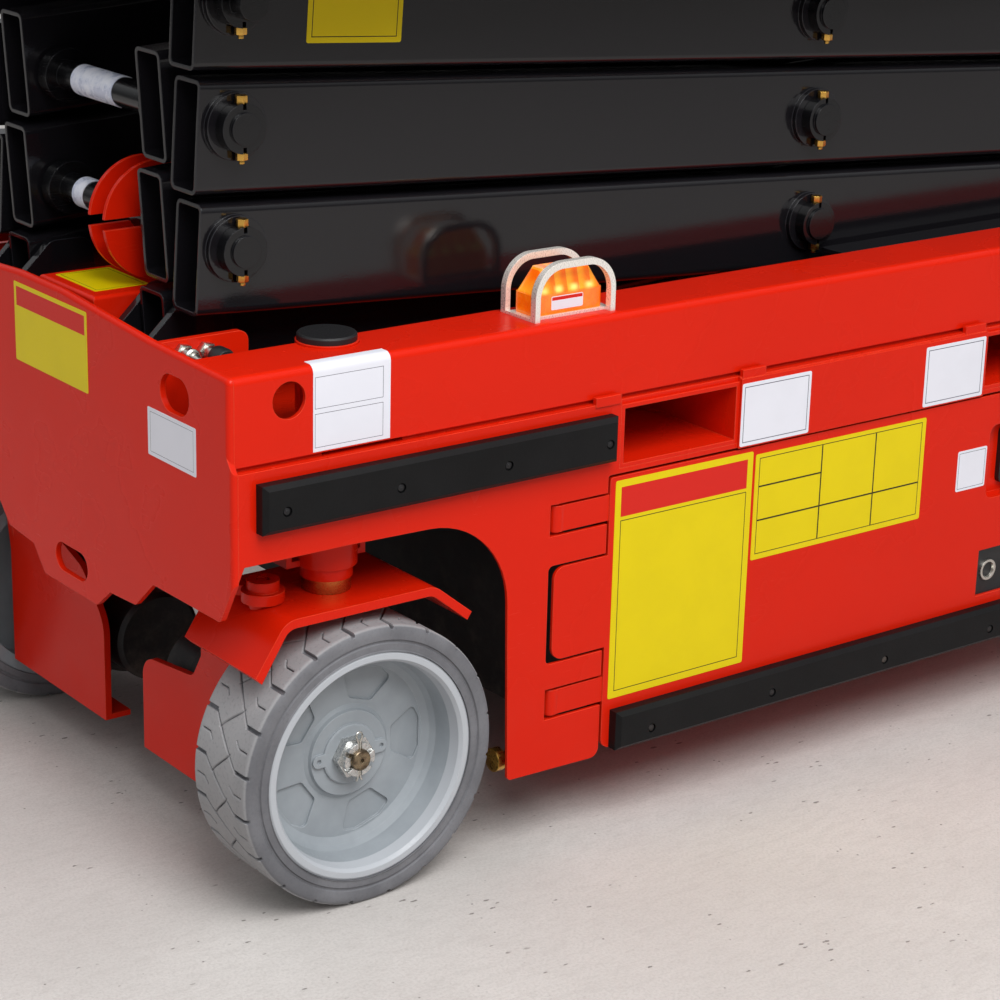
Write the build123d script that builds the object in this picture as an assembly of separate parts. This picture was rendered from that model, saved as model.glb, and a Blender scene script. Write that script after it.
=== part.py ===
from build123d import *
import math
import os

# Self-propelled electric scissor lift, folded, in millimetres.
# +X points to the steered front end, +Y to the machine's left, +Z up from the ground.

# Wheels and stance
BODY_W = 960.0            # across the tyres and the side sheets
FRONT_AXLE_X = 1000.0
TYRE_D = 381.0
TYRE_W = 127.0
TYRE_BORE_R = 156.0
TYRE_ROUND = 6.0
RIM_LIP_R = 143.0
DISH_DEPTH = 62.0
DISC_T = 14.0
HUB_R = 58.0
WHEEL_BORE_R = 26.0
BOSS_RING_R = 41.0        # eared ring on the hub
EAR_AT, EAR_R = 48.5, 9.0
NUT_R = 29.0              # over the nut's corners
NUT_SLOT = 6.0
SHAFT_END_R = 14.0
POCKET_N = 5
FIT = 0.05                # radial clearance of a turning pin
SEAT = 0.3                # gap of pieces that only rest on each other
RUN = 6.0                 # clearance of pieces that move past each other

# Chassis shell
FRONT_OUT = 205.0         # front plate's face ahead of the front axle
TAIL_GAP = 224.93         # rear plate's face behind the rear arm pins
PLATE_T = 8.0
SHEET_T = 5.0
RAIL_T = 6.0
RAIL_LOW, RAIL_TOP = 624.0, 735.0
RAIL_IN = 8.0             # rail's side inside the side sheets
RAIL_FLANGE = 99.0
RAIL_LIP = 52.0
RAIL_ROUND = 10.0
RAIL_HOLE_R = 23.5
RAIL_HOLE_X = 120.0       # ahead of the front axle
RAIL_HOLE_Z = 697.0
DECK_TOP = 618.0
DECK_T = 6.0
ARCH_GAP = 208.0          # from the axle back to the arch's upright edge
SKIRT_Z = 112.0           # bottom edge of the side sheets
ARCH_TOP = 495.0
DOOR_BACK = 379.0         # door's front edge behind the front axle
DOOR_TOP, DOOR_LOW = 515.0, 121.0
DOOR_GAP = 2.0
HINGE_AHEAD = 83.0        # hinge line ahead of the door's front edge
HINGE_IN = 12.0           # hinge line inside the side plane
HINGE_Z = (210.0, 471.0)
HINGE_H = 36.0
HINGE_R, HINGE_PIN_R = 11.5, 6.0
TAB_AHEAD = 91.0          # door tab between the hinges
TAB_Z = (272.0, 404.0)
TAB_GAP = 4.0
TAB_FREE = 10.0           # room for the tab to swing past the sheet
TAB_ROUND, NOTCH_ROUND = 18.0, 8.0
LATCH_W, LATCH_H, LATCH_Z = 100.0, 116.0, 407.0
LATCH_BACK = 230.0        # latch pan's middle behind the door's middle
SOCKET_W, SOCKET_Z = 215.0, (193.0, 267.0)
DOOR_SWING = 95.0
TRAY_DEPTH = 250.0
POCKET_Z = 524.0          # underside of the fork pockets
POCKET_W, POCKET_T = 209.0, 6.0
POCKET_SPAN = 693.0       # between the two pockets' middles
POCKET_SHIFT = 91.0       # pockets' middle ahead of the wheels' middle
COVER_T = 4.0             # plate between the pockets
BAR_T = 20.0              # rubber bars stand this proud
BAR_H = 62.0
DOOR_BAR_H = 56.0
SINK_R, SINK_DEEP = 6.5, 3.0     # screw places in the bars
UPPER_SCREW_END = (16.0, 32.0)   # outer screws from the bar's ends, at the door and away from it
DOOR_SCREW_END = (121.0, 61.0)   # at the rear and front end
UPPER_SCREW_Z, DOOR_SCREW_Z = 27.0, 21.0
UPPER_BAR_Z = 541.0
LAMP_BACK = 328.0         # lamp's middle behind the front axle
LAMP_IN = 60.0            # and inside the side plane
LAMP_HALF, LAMP_GUARD = 66.0, 76.0
LAMP_PLATE = 4.0
HOOP_W, HOOP_T = 10.0, 8.0
DOOR_BAR_Z = 121.0
TUNNEL_Y = 205.0          # outer face of the middle tunnel
BELLY_Z = 445.0           # underside of the frame over the steered wheels
TUNNEL_LOW = 130.0

# Steering
KINGPIN_OFF = (9.0, 95.0)  # ahead of the axle, in from the side plane
KINGPIN_R = 25.0
HOUSING_R = 40.0
FENDER_Z = 410.0
FENDER_T = 12.0
STEER_ARM = 95.0          # tie rod pins ahead of the kingpins
TIE_JOG = 36.0            # the bar's step ahead of its pins
TIE_ROD_W, TIE_ROD_H = 20.0, 14.0
TIE_EYE_R, TIE_BOSS_R, TIE_BOSS_H = 28.0, 21.0, 14.0
TIE_PIN_R = 8.0
BUSH_R = 32.0
SLEEVE_R = 34.0           # housing below the cross beam
MOTOR_R = 78.0
MOTOR_IN = 130.0          # motor's inner end from the middle
BRAKE_R, BRAKE_IN = 66.0, 62.0
GUARD_X = 94.0            # motor guard's face ahead of the axle
GUARD_T = 10.0
GUARD_LOW = 85.0
GUARD_IN = 55.0           # inner edge from the middle of the machine

# Scissor stack
LEVELS = 3
ARM_SPAN = 1952.0         # between the end pins of an arm
STACK_PITCH = 152.0
BASE_PIN_Z = 692.0
FRONT_PIN = 86.0          # ahead of the front axle
TUBE_H, TUBE_W, TUBE_T = 140.0, 60.0, 5.0
TUBE_ROUND = 10.0
TUBE_TILT = 3.57
TUBE_OVER = 50.0          # tube end past the end pin
AXLE_SHORT = 82.0         # the wheelbase is shorter than the arms
OUTER_Y = 295.0           # outer face of the outer tubes
INNER_Y = 212.0           # outer face of the inner tubes
PIN_R = 22.5
SHAFT_R = 20.0
OPEN_GAP = 1.5            # clearance round the pins of the open pivots
BOSS_R, BOSS_T = 42.0, 8.0
CLAMP_R, CLAMP_T = 31.0, 18.0
CLAMP_SLIT = 5.0
COLLAR_R, COLLAR_T = 36.0, 22.0
CROSS_R = 27.0
DISC_R = 78.0
ROLLER_R, ROLLER_W = 29.0, 46.0
CHANNEL_T = 6.0
CHANNEL_GAP = 2.0
CHANNEL_IN = 309.0
CHANNEL_OUT = 373.0

# Lift cylinder
EYE_LOW_BACK = 202.0      # lower eye ahead of the lowest inner arm's rear pin
EYE_HIGH_PAST = 24.0      # upper eye behind the second inner arm's middle pin
EYE_OFF_LOW = -45.0
EYE_OFF_HIGH = 60.0
LUG_BACK = 95.0           # lower cross tube behind the lower eye
LUG_AHEAD = 150.0         # upper cross tube ahead of the upper eye
EYE_R, EYE_W = 38.0, 60.0
CYL_R, ROD_R = 52.0, 32.0
EYE_PIN_R = 18.0
LUG_T = 14.0

# Platform
PLAT_LIFT = 82.0          # floor's underside above the top pins
FLOOR_T = 6.0
PLAT_W = 880.0
PLAT_REAR, PLAT_FRONT = -1085.0, 1195.0
TOE_H, TOE_T = 150.0, 3.0
TOE_DROP = 60.0           # toe boards reach this far below the floor
RAIL_H = 1100.0           # guardrail top above the floor
SQ = 35.0                 # square tube of the guardrails
EXT_LEN = 990.0
EXT_STEP = 5.0            # extension floor above the main floor
EXT_IN = 45.0             # extension rails inside the main rails
GATE_HALF = 285.0
GATE_GAP = 12.0
GATE_PIN_R = 8.0
LADDER_OUT = 120.0
LADDER_HALF = 180.0
LADDER_TOP = 1000.0
LADDER_FOOT, LADDER_STEP = 300.0, 200.0

WHEELBASE = ARM_SPAN - AXLE_SHORT
HALF = BODY_W / 2
RAIL_Y = HALF - RAIL_IN
REAR_AXLE_X = FRONT_AXLE_X - WHEELBASE
WHEEL_R = TYRE_D / 2
FACE_X = FRONT_AXLE_X + FRONT_OUT
KING_X = FRONT_AXLE_X + KINGPIN_OFF[0]
KING_Y = HALF - KINGPIN_OFF[1]
LAMP_X = FRONT_AXLE_X - LAMP_BACK
LAMP_Y = HALF - LAMP_IN
PIN_X = FRONT_AXLE_X + FRONT_PIN
FOLD = math.asin(STACK_PITCH / ARM_SPAN)
TILT = math.radians(TUBE_TILT)
REAR_PIN_X = PIN_X - ARM_SPAN * math.cos(FOLD)
MID_X = (PIN_X + REAR_PIN_X) / 2
TAIL_X = REAR_PIN_X - TAIL_GAP
EYE_LOW = ARM_SPAN - EYE_LOW_BACK
EYE_HIGH = ARM_SPAN / 2 + EYE_HIGH_PAST
TOP_PIN_Z = BASE_PIN_Z + LEVELS * STACK_PITCH
CHANNEL_H = 2 * (ROLLER_R + CHANNEL_GAP + CHANNEL_T)
FLOOR_Z = TOP_PIN_Z + PLAT_LIFT + FLOOR_T
MID_WHEELS_X = (FRONT_AXLE_X + REAR_AXLE_X) / 2
DOOR_FRONT_X = FRONT_AXLE_X - DOOR_BACK
DOOR_REAR_X = 2 * MID_WHEELS_X - DOOR_FRONT_X
HINGE_X = DOOR_FRONT_X + HINGE_AHEAD
POCKET_MID_X = MID_WHEELS_X + POCKET_SHIFT
HINGE_Y = HALF - HINGE_IN
DECK_WINDOWS = (
    # openings that the swinging arm ends dip into: x from, x to, y from, y to
    (REAR_PIN_X - 110, MID_X + 90, INNER_Y + 13, OUTER_Y + 15),
    (PIN_X - 60, PIN_X + 95, INNER_Y - TUBE_W - 4, INNER_Y + 4),
)


def block(x0, x1, y0, y1, z0, z1):
    """A plain box between two corners."""
    size = Box(abs(x1 - x0), abs(y1 - y0), abs(z1 - z0))
    return Pos((x0 + x1) / 2, (y0 + y1) / 2, (z0 + z1) / 2) * size


def rod_y(x, z, r, y0, y1):
    """A round bar across the machine from y0 to y1."""
    return Pos(x, (y0 + y1) / 2, z) * (Rot(90, 0, 0) * Cylinder(r, abs(y1 - y0)))


def rod_z(x, y, r, z0, z1):
    """An upright round bar from z0 to z1."""
    return Pos(x, y, (z0 + z1) / 2) * Cylinder(r, abs(z1 - z0))


def side_plate(points, y0, y1, rounds=()):
    """A plate in the X-Z plane between y0 and y1; rounds lists (corner index, radius)."""
    face = make_face(Polyline(*[(x, z) for x, z in points], close=True))
    for index, radius in rounds:
        x, z = points[index]
        corner = face.vertices().sort_by_distance((x, z, 0))[0]
        face = fillet(corner, radius)
    solid = extrude(face, abs(y1 - y0))
    return Pos(0, max(y0, y1), 0) * (Rot(90, 0, 0) * solid)


def cross_plate(points, x0, x1, rounds=()):
    """A plate in the Y-Z plane between x0 and x1."""
    face = make_face(Polyline(*[(y, z) for y, z in points], close=True))
    for index, radius in rounds:
        y, z = points[index]
        corner = face.vertices().sort_by_distance((y, z, 0))[0]
        face = fillet(corner, radius)
    solid = extrude(face, abs(x1 - x0))
    return Pos(min(x0, x1), 0, 0) * (Plane.YZ * solid)


def mirrored(shape):
    """The same piece on the machine's right side."""
    return mirror(shape, about=Plane.XZ)


def save(name, *shapes):
    """Write one node from its solids."""
    solids = [s for shape in shapes for s in shape.solids()]
    for solid in solids:
        solid.label = name
    export_step(Compound(children=solids) if len(solids) > 1 else solids[0], f"parts/{name}.step")


# Wheels

def wheel_tyre(x):
    """Solid rubber ring with rounded shoulders, left wheel."""
    ring = Cylinder(WHEEL_R, TYRE_W)
    ring = fillet(ring.edges().filter_by(GeomType.CIRCLE), TYRE_ROUND)
    ring -= Cylinder(TYRE_BORE_R, TYRE_W + 2)
    return Pos(x, HALF - TYRE_W / 2, WHEEL_R) * (Rot(90, 0, 0) * ring)


def wheel_rim(x):
    """Deep dished cast wheel: barrel, disc with five shallow pockets, hub, eared ring and slotted nut."""
    disc_y = HALF - DISH_DEPTH
    rim_r = TYRE_BORE_R - SEAT
    dish_r = RIM_LIP_R - 14
    profile = [
        (WHEEL_BORE_R, -DISC_T - 20), (HUB_R, -DISC_T - 20), (HUB_R + 4, -DISC_T), (RIM_LIP_R - 6, -DISC_T),
        (RIM_LIP_R - 6, 2 - (TYRE_W - DISH_DEPTH)), (rim_r, 2 - (TYRE_W - DISH_DEPTH)),
        (rim_r, DISH_DEPTH - 3), (rim_r - 3, DISH_DEPTH - 1), (RIM_LIP_R + 2, DISH_DEPTH - 1),
        (RIM_LIP_R - 2, DISH_DEPTH - 6), (dish_r + 5, 14), (dish_r, 6), (dish_r - 9, 0),
        (HUB_R + 7, 0), (HUB_R + 2, 3), (HUB_R, 8), (BOSS_RING_R, 8), (BOSS_RING_R, 11), (BOSS_RING_R - 2, 12),
        (0, 12), (0, 2), (WHEEL_BORE_R, 2),
    ]
    section = make_face(Polyline(*profile, close=True))
    body = revolve(Plane.XZ * section, Axis.Z)
    for index in range(POCKET_N):
        body -= Rot(0, 0, 36 + index * 360 / POCKET_N) * wheel_pocket(dish_r)
    body += eared_ring() + slotted_nut()
    return Pos(x, disc_y, WHEEL_R) * (Rot(-90, 0, 0) * body)


def wheel_pocket(dish_r):
    """Shallow pocket in the disc: a trapezium with rounded corners."""
    near, far = HUB_R + 13, dish_r - 13
    outline = Polyline((near, -18), (far - 10, -40), (far, -20), (far, 20), (far - 10, 40), (near, 18), close=True)
    face = make_face(outline)
    face = fillet(face.vertices(), 7)
    return Pos(0, 0, -4) * extrude(face, 5)


def eared_ring():
    """Two drilled ears on the hub's ring."""
    ears = None
    for side in (1, -1):
        ear = Pos(side * EAR_AT, 0, 9.5) * Cylinder(EAR_R, 5)
        ear += Pos(side * (EAR_AT - 8), 0, 9.5) * Box(16, 2 * EAR_R, 5)
        ear -= Pos(side * EAR_AT, 0, 11) * Cylinder(3.4, 4)
        ears = ear if ears is None else ears + ear
    return ears


def slotted_nut():
    """Axle nut with a slotted crown, and the axle's end with its centre hole."""
    nut = Pos(0, 0, 11) * extrude(RegularPolygon(NUT_R, 6), 14)
    nut += Pos(0, 0, 29) * Cylinder(NUT_R * 0.8, 10)
    for index in range(3):
        nut -= Rot(0, 0, 30 + index * 60) * (Pos(0, 0, 31.5) * Box(2 * NUT_R, NUT_SLOT, 7))
    end = Pos(0, 0, 24) * Cylinder(SHAFT_END_R, 30)
    end = chamfer(end.edges().filter_by(GeomType.CIRCLE).sort_by(Axis.Z)[-1], 1.5)
    return nut + end - Pos(0, 0, 39) * Cylinder(3, 6)


# Chassis

def rail_section():
    """Left upper rail: a channel open to the middle, with a wide top flange."""
    outer = [
        (RAIL_Y, RAIL_LOW), (RAIL_Y, RAIL_TOP), (RAIL_Y - RAIL_FLANGE, RAIL_TOP),
        (RAIL_Y - RAIL_FLANGE, RAIL_TOP - RAIL_T), (RAIL_Y - RAIL_T, RAIL_TOP - RAIL_T),
        (RAIL_Y - RAIL_T, RAIL_LOW + RAIL_T), (RAIL_Y - RAIL_LIP, RAIL_LOW + RAIL_T),
        (RAIL_Y - RAIL_LIP, RAIL_LOW),
    ]
    return cross_plate(outer, TAIL_X + PLATE_T, FACE_X - PLATE_T, rounds=[(1, RAIL_ROUND), (4, 4)])


def roller_channel(pin_z, x0, x1):
    """Channel, open to the middle, that holds the rollers of the sliding arm ends."""
    low, top = pin_z - CHANNEL_H / 2, pin_z + CHANNEL_H / 2
    points = [
        (CHANNEL_OUT, low), (CHANNEL_OUT, top), (CHANNEL_IN, top), (CHANNEL_IN, top - CHANNEL_T),
        (CHANNEL_OUT - CHANNEL_T, top - CHANNEL_T), (CHANNEL_OUT - CHANNEL_T, low + CHANNEL_T),
        (CHANNEL_IN, low + CHANNEL_T), (CHANNEL_IN, low),
    ]
    return cross_plate(points, x0, x1)


def chassis_rails():
    """Left upper rail with its lashing holes."""
    rail = rail_section()
    for x in (FRONT_AXLE_X + RAIL_HOLE_X, REAR_AXLE_X - RAIL_HOLE_X):
        rail -= rod_y(x, RAIL_HOLE_Z, RAIL_HOLE_R, RAIL_Y - 20, RAIL_Y + 5)
    rail -= rod_z(KING_X, KING_Y, HOUSING_R + SEAT, RAIL_LOW - 1, RAIL_TOP + 1)
    return rail


def chassis_channel():
    """Left roller channel of the lowest outer arm, hung from the rail and standing on the deck."""
    x0, x1 = REAR_PIN_X - 100, MID_X - 20
    shape = roller_channel(BASE_PIN_Z, x0, x1)
    shape += block(x0, x1, CHANNEL_OUT - CHANNEL_T, CHANNEL_OUT, BASE_PIN_Z + CHANNEL_H / 2 - 1, RAIL_TOP)
    for x in (x0 + 10, (x0 + x1) / 2 - 30, x1 - 70):
        shape += block(x, x + 60, CHANNEL_OUT - 30, CHANNEL_OUT, DECK_TOP, BASE_PIN_Z - CHANNEL_H / 2 + 1)
    return shape


def front_plate():
    """Thick front plate with its scalloped lower edge, lifting eyes and slot."""
    edge = [
        (HALF, 479), (HALF - 31, 423), (HALF - 194, 421), (HALF - 241, 379), (HALF - 308, 375),
        (HALF - 344, 346), (-10, 346), (-40, 380), (-112, 386), (-145, 421),
        (31 - HALF, 423), (-HALF, 479), (-HALF, DECK_TOP), (-RAIL_Y, RAIL_LOW + 6), (-RAIL_Y, RAIL_TOP),
        (192 - HALF, RAIL_TOP + 6), (-60, RAIL_TOP + 22), (60, RAIL_TOP + 22), (HALF - 192, RAIL_TOP + 6),
        (RAIL_Y, RAIL_TOP), (RAIL_Y, RAIL_LOW + 6), (HALF, DECK_TOP),
    ]
    rounds = [(i, 6) for i in (1, 2, 3, 4, 5, 6, 7, 8, 9, 10)] + [(14, 8), (19, 8)]
    plate = cross_plate(edge, FACE_X - PLATE_T, FACE_X, rounds)
    eye = Plane.YZ * extrude(SlotOverall(70, 48), 40, both=True)
    slot = Plane.YZ * extrude(SlotOverall(89, 40), 40, both=True)
    for side in (1, -1):
        plate -= Pos(FACE_X, side * (HALF - 133), 686) * eye
    plate -= Pos(FACE_X, HALF - 412, 386) * slot
    corner = plate.edges().filter_by(Axis.Z).group_by(Axis.X)[-1]
    ends = [e for e in corner if abs(e.center().Y) > RAIL_Y - 1 and e.length > 90]
    return fillet(ends, PLATE_T - 1)


def rear_plate():
    """Plain rear plate with a hand hole."""
    edge = [(HALF, ARCH_TOP - 15), (HALF - 60, 300), (60 - HALF, 300), (-HALF, ARCH_TOP - 15), (-HALF, RAIL_TOP),
            (HALF, RAIL_TOP)]
    plate = cross_plate(edge, TAIL_X, TAIL_X + PLATE_T, rounds=[(0, 12), (1, 12), (2, 12), (3, 12)])
    window = Plane.YZ * extrude(SlotOverall(160, 60), 40, both=True)
    for side in (1, -1):
        plate -= Pos(TAIL_X, side * 250, 400) * window
    return plate


def side_sheet():
    """Left side sheet: wheel arches, door opening and fork slots in one plate."""
    front, rear = FRONT_AXLE_X, REAR_AXLE_X
    points = [
        (FACE_X - PLATE_T, DECK_TOP), (FACE_X - PLATE_T, 482), (FACE_X - 16, ARCH_TOP + 5), (front + 37, ARCH_TOP + 5),
        (front - ARCH_GAP, ARCH_TOP), (front - ARCH_GAP - 11, SKIRT_Z + 3), (DOOR_FRONT_X + 4, SKIRT_Z),
        (DOOR_FRONT_X + 4, DOOR_TOP + DOOR_GAP), (DOOR_REAR_X - 4, DOOR_TOP + DOOR_GAP), (DOOR_REAR_X - 4, SKIRT_Z),
        (rear + ARCH_GAP + 11, SKIRT_Z + 3), (rear + ARCH_GAP, ARCH_TOP), (TAIL_X + PLATE_T, ARCH_TOP + 5),
        (TAIL_X + PLATE_T, DECK_TOP),
    ]
    sheet = side_plate(points, HALF - SHEET_T, HALF,
                       rounds=[(4, 130), (11, 130), (5, 6), (10, 6), (6, 14), (9, 14), (7, 4), (8, 4)])
    rear_pocket, front_pocket = fork_pocket_middles()
    half_w = POCKET_W / 2
    for x in (rear_pocket, front_pocket):
        sheet -= block(x - half_w, x + half_w, HALF - 20, HALF + 5, POCKET_Z, DECK_TOP + 1)
    sheet += block(rear_pocket + half_w, front_pocket - half_w, HALF - 1, HALF + COVER_T,
                   DOOR_TOP + DOOR_GAP, DECK_TOP - 2)
    for x in (rear_pocket, front_pocket):
        for side in (1, -1):
            mid = x + side * (half_w + 24)
            sheet += block(mid - 21, mid + 21, HALF - SHEET_T, HALF + 2, DECK_TOP - 3, RAIL_LOW + 4)
    for z in HINGE_Z:
        sheet -= block(DOOR_FRONT_X - 2, HINGE_X + HINGE_R + RUN, HALF - 20, HALF + 5, z - HINGE_H / 2 - 4,
                       z + HINGE_H / 2 + 4)
    return sheet - door_tab(TAB_GAP, TAB_FREE, NOTCH_ROUND, HALF - 20, HALF + 5)


def door_tab(grow, ahead, corner, y0, y1):
    """The door's tab between its hinges, or with grow and ahead the notch for it."""
    x0, x1 = DOOR_FRONT_X - 6, DOOR_FRONT_X + TAB_AHEAD + ahead
    low, high = TAB_Z[0] - grow, TAB_Z[1] + grow
    return side_plate([(x0, low), (x1, low), (x1, high), (x0, high)], y0, y1, rounds=[(1, corner), (2, corner)])


def fork_pocket_middles():
    """X of the two fork pockets."""
    return POCKET_MID_X - POCKET_SPAN / 2, POCKET_MID_X + POCKET_SPAN / 2


def fork_pockets():
    """Two rectangular tubes right through the chassis."""
    tubes = []
    for x in fork_pocket_middles():
        half_w = POCKET_W / 2
        tube = block(x - half_w, x + half_w, -HALF, HALF, POCKET_Z, DECK_TOP - DECK_T)
        tube -= block(x - half_w + POCKET_T, x + half_w - POCKET_T, -HALF - 1, HALF + 1,
                      POCKET_Z + POCKET_T, DECK_TOP - DECK_T - POCKET_T)
        tubes.append(tube)
    return tubes


def deck_plate():
    """Deck between the rails, with the spacer bars that carry them and the hose plate."""
    plate = block(TAIL_X + PLATE_T, FACE_X - PLATE_T, SHEET_T - HALF, HALF - SHEET_T, DECK_TOP - DECK_T, DECK_TOP)
    for side in (1, -1):
        plate -= rod_z(KING_X, side * KING_Y, HOUSING_R + SEAT, DECK_TOP - 20, DECK_TOP + 20)
        plate += block(TAIL_X + PLATE_T, KING_X - HOUSING_R - 20, side * (HALF - 40), side * (HALF - 15), DECK_TOP,
                       RAIL_LOW)
        plate += block(KING_X + HOUSING_R + 20, FACE_X - PLATE_T, side * (HALF - 40), side * (HALF - 15), DECK_TOP,
                       RAIL_LOW)
    for side in (1, -1):
        for x0, x1, y0, y1 in DECK_WINDOWS:
            plate -= block(x0, x1, side * y0, side * y1, DECK_TOP - 20, DECK_TOP + 1)
    gusset = [(FACE_X - PLATE_T, DECK_TOP - 1), (FACE_X - PLATE_T, RAIL_TOP + 3), (PIN_X - 18, RAIL_TOP + 3),
              (PIN_X - 18, DECK_TOP - 1)]
    for side in (1, -1):
        plate += side_plate(gusset, side * (OUTER_Y - 9), side * (OUTER_Y + 1), rounds=[(2, 14)])
    return plate


def frame_plates():
    """Long upright plates under the fork pockets, behind and ahead of the front cross beam."""
    inner_y = TUNNEL_Y - PLATE_T
    plates = []
    for side in (1, -1):
        plates.append(block(TAIL_X + PLATE_T, KING_X - 60, side * inner_y, side * TUNNEL_Y, BELLY_Z, POCKET_Z))
        plates.append(block(KING_X + 60, FACE_X - PLATE_T, side * inner_y, side * TUNNEL_Y, BELLY_Z, DECK_TOP - DECK_T))
    return plates


def tunnel():
    """Open-topped trough between the two door bays."""
    front_x = DOOR_FRONT_X + 16
    rear_x = 2 * MID_WHEELS_X - front_x
    points = [
        (TUNNEL_Y, TUNNEL_LOW), (TUNNEL_Y, BELLY_Z), (TUNNEL_Y - PLATE_T, BELLY_Z),
        (TUNNEL_Y - PLATE_T, TUNNEL_LOW + PLATE_T),
        (PLATE_T - TUNNEL_Y, TUNNEL_LOW + PLATE_T), (PLATE_T - TUNNEL_Y, BELLY_Z), (-TUNNEL_Y, BELLY_Z),
        (-TUNNEL_Y, TUNNEL_LOW),
    ]
    return cross_plate(points, rear_x, front_x - PLATE_T, rounds=[(0, 6), (7, 6)])


def bulkheads():
    """Cross plates ahead of and behind the door bays."""
    front_x = DOOR_FRONT_X + 16
    rear_x = 2 * MID_WHEELS_X - front_x
    plates = []
    for x in (front_x - PLATE_T, rear_x - PLATE_T):
        plate = block(x, x + PLATE_T, SHEET_T - HALF, HALF - SHEET_T, TUNNEL_LOW, POCKET_Z - 4)
        plate -= block(x - 1, x + PLATE_T + 1, -TUNNEL_Y, TUNNEL_Y, BELLY_Z, POCKET_Z)
        for side in (1, -1):
            for z in HINGE_Z:
                plate -= block(x - 1, x + PLATE_T + 1, side * (HALF - 20), side * HALF, z - HINGE_H / 2 - 8,
                               z + HINGE_H / 2 + 8)
            plate -= block(x - 1, x + PLATE_T + 1, side * (HALF - 14), side * HALF, TAB_Z[0] - 8, TAB_Z[1] + 8)
        plates.append(plate)
    return plates


def axle_beam():
    """Front cross beam with the kingpin housings at its ends."""
    low, high = BELLY_Z, DECK_TOP - DECK_T
    beam = block(KING_X - 60, KING_X + 60, -KING_Y, KING_Y, low, high)
    beam -= block(KING_X - 52, KING_X + 52, -KING_Y - 1, KING_Y + 1, low + PLATE_T, high - PLATE_T)
    for side in (1, -1):
        beam += rod_z(KING_X, side * KING_Y, HOUSING_R, BELLY_Z, RAIL_TOP + 3)
        beam += rod_z(KING_X, side * KING_Y, SLEEVE_R, FENDER_Z + 18, BELLY_Z + 1)
    for side in (1, -1):
        beam -= rod_z(KING_X, side * KING_Y, KINGPIN_R + FIT, FENDER_Z - 100, RAIL_TOP + 100)
    return beam


def rear_axle():
    """Rear cross beam with its drop plates and stub axles."""
    beam = block(REAR_AXLE_X - 50, REAR_AXLE_X + 50, -300, 300, BELLY_Z - 90, BELLY_Z)
    for side in (1, -1):
        plate = side_plate([(REAR_AXLE_X - 90, BELLY_Z), (REAR_AXLE_X - 45, 130), (REAR_AXLE_X + 45, 130),
                            (REAR_AXLE_X + 90, BELLY_Z)], side * 300, side * 320, rounds=[(1, 30), (2, 30)])
        beam += plate
        beam += rod_y(REAR_AXLE_X, WHEEL_R, 45, side * 319, side * (HALF - TYRE_W - 4))
        beam += rod_y(REAR_AXLE_X, WHEEL_R, WHEEL_BORE_R - FIT, side * 340, side * (HALF - DISH_DEPTH))
    return beam


def spread(start, end, count):
    """Evenly spaced places from start to end."""
    return [start + (end - start) * index / (count - 1) for index in range(count)]


def rubber_bar(x0, x1, z0, height, screws, screw_z):
    """Left rubber bumper bar with bevelled outer edges and sunk screw places."""
    bar = block(x0, x1, HALF, HALF + BAR_T, z0, z0 + height)
    outer = bar.faces().sort_by(Axis.Y)[-1].edges()
    bar = chamfer(outer, 6)
    for x in screws:
        bar -= rod_y(x, z0 + screw_z, SINK_R, HALF + BAR_T - SINK_DEEP, HALF + BAR_T + 1)
    return bar


def upper_bars():
    """Upper rubber bars beside the wheels."""
    near, away = UPPER_SCREW_END
    x0, x1 = DOOR_FRONT_X + 3, FACE_X - 33
    front = rubber_bar(x0, x1, UPPER_BAR_Z, BAR_H, spread(x0 + near, x1 - away, 4), UPPER_SCREW_Z)
    x0, x1 = TAIL_X + 33, DOOR_REAR_X - 3
    rear = rubber_bar(x0, x1, UPPER_BAR_Z, BAR_H, spread(x0 + away, x1 - near, 4), UPPER_SCREW_Z)
    return [front, rear, mirrored(front), mirrored(rear)]


def pivot_brackets():
    """Paired black plates on the deck that hold the front pins of the lowest inner arm."""
    pieces = []
    for y0, y1 in ((INNER_Y - TUBE_W - 18, INNER_Y - TUBE_W - 6), (INNER_Y + 5, INNER_Y + 15)):
        points = [(PIN_X - 55, DECK_TOP), (FACE_X - PLATE_T - 4, DECK_TOP), (FACE_X - PLATE_T - 4, 700),
                  (PIN_X + 30, 772), (PIN_X - 30, 772)]
        plate = side_plate(points, y0, y1, rounds=[(3, 20), (4, 20)])
        pieces.append(plate)
    pin = rod_y(PIN_X, BASE_PIN_Z, PIN_R, INNER_Y - TUBE_W - 18, INNER_Y + 15)
    left = pieces[0] + pieces[1] + pin
    return [left, mirrored(left)]


def beacon():
    """Amber lens: a low block with a sloping, narrower top."""
    band = extrude(fillet(Rectangle(2 * LAMP_HALF - 18, 44).vertices(), 8), 27)
    top = loft([
        Pos(0, 0, 26) * fillet(Rectangle(2 * LAMP_HALF - 19, 43).vertices(), 8),
        Pos(0, 0, 59) * fillet(Rectangle(2 * LAMP_HALF - 56, 24).vertices(), 6),
    ])
    return Pos(LAMP_X, LAMP_Y, RAIL_TOP + LAMP_PLATE) * (band + top)


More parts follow.
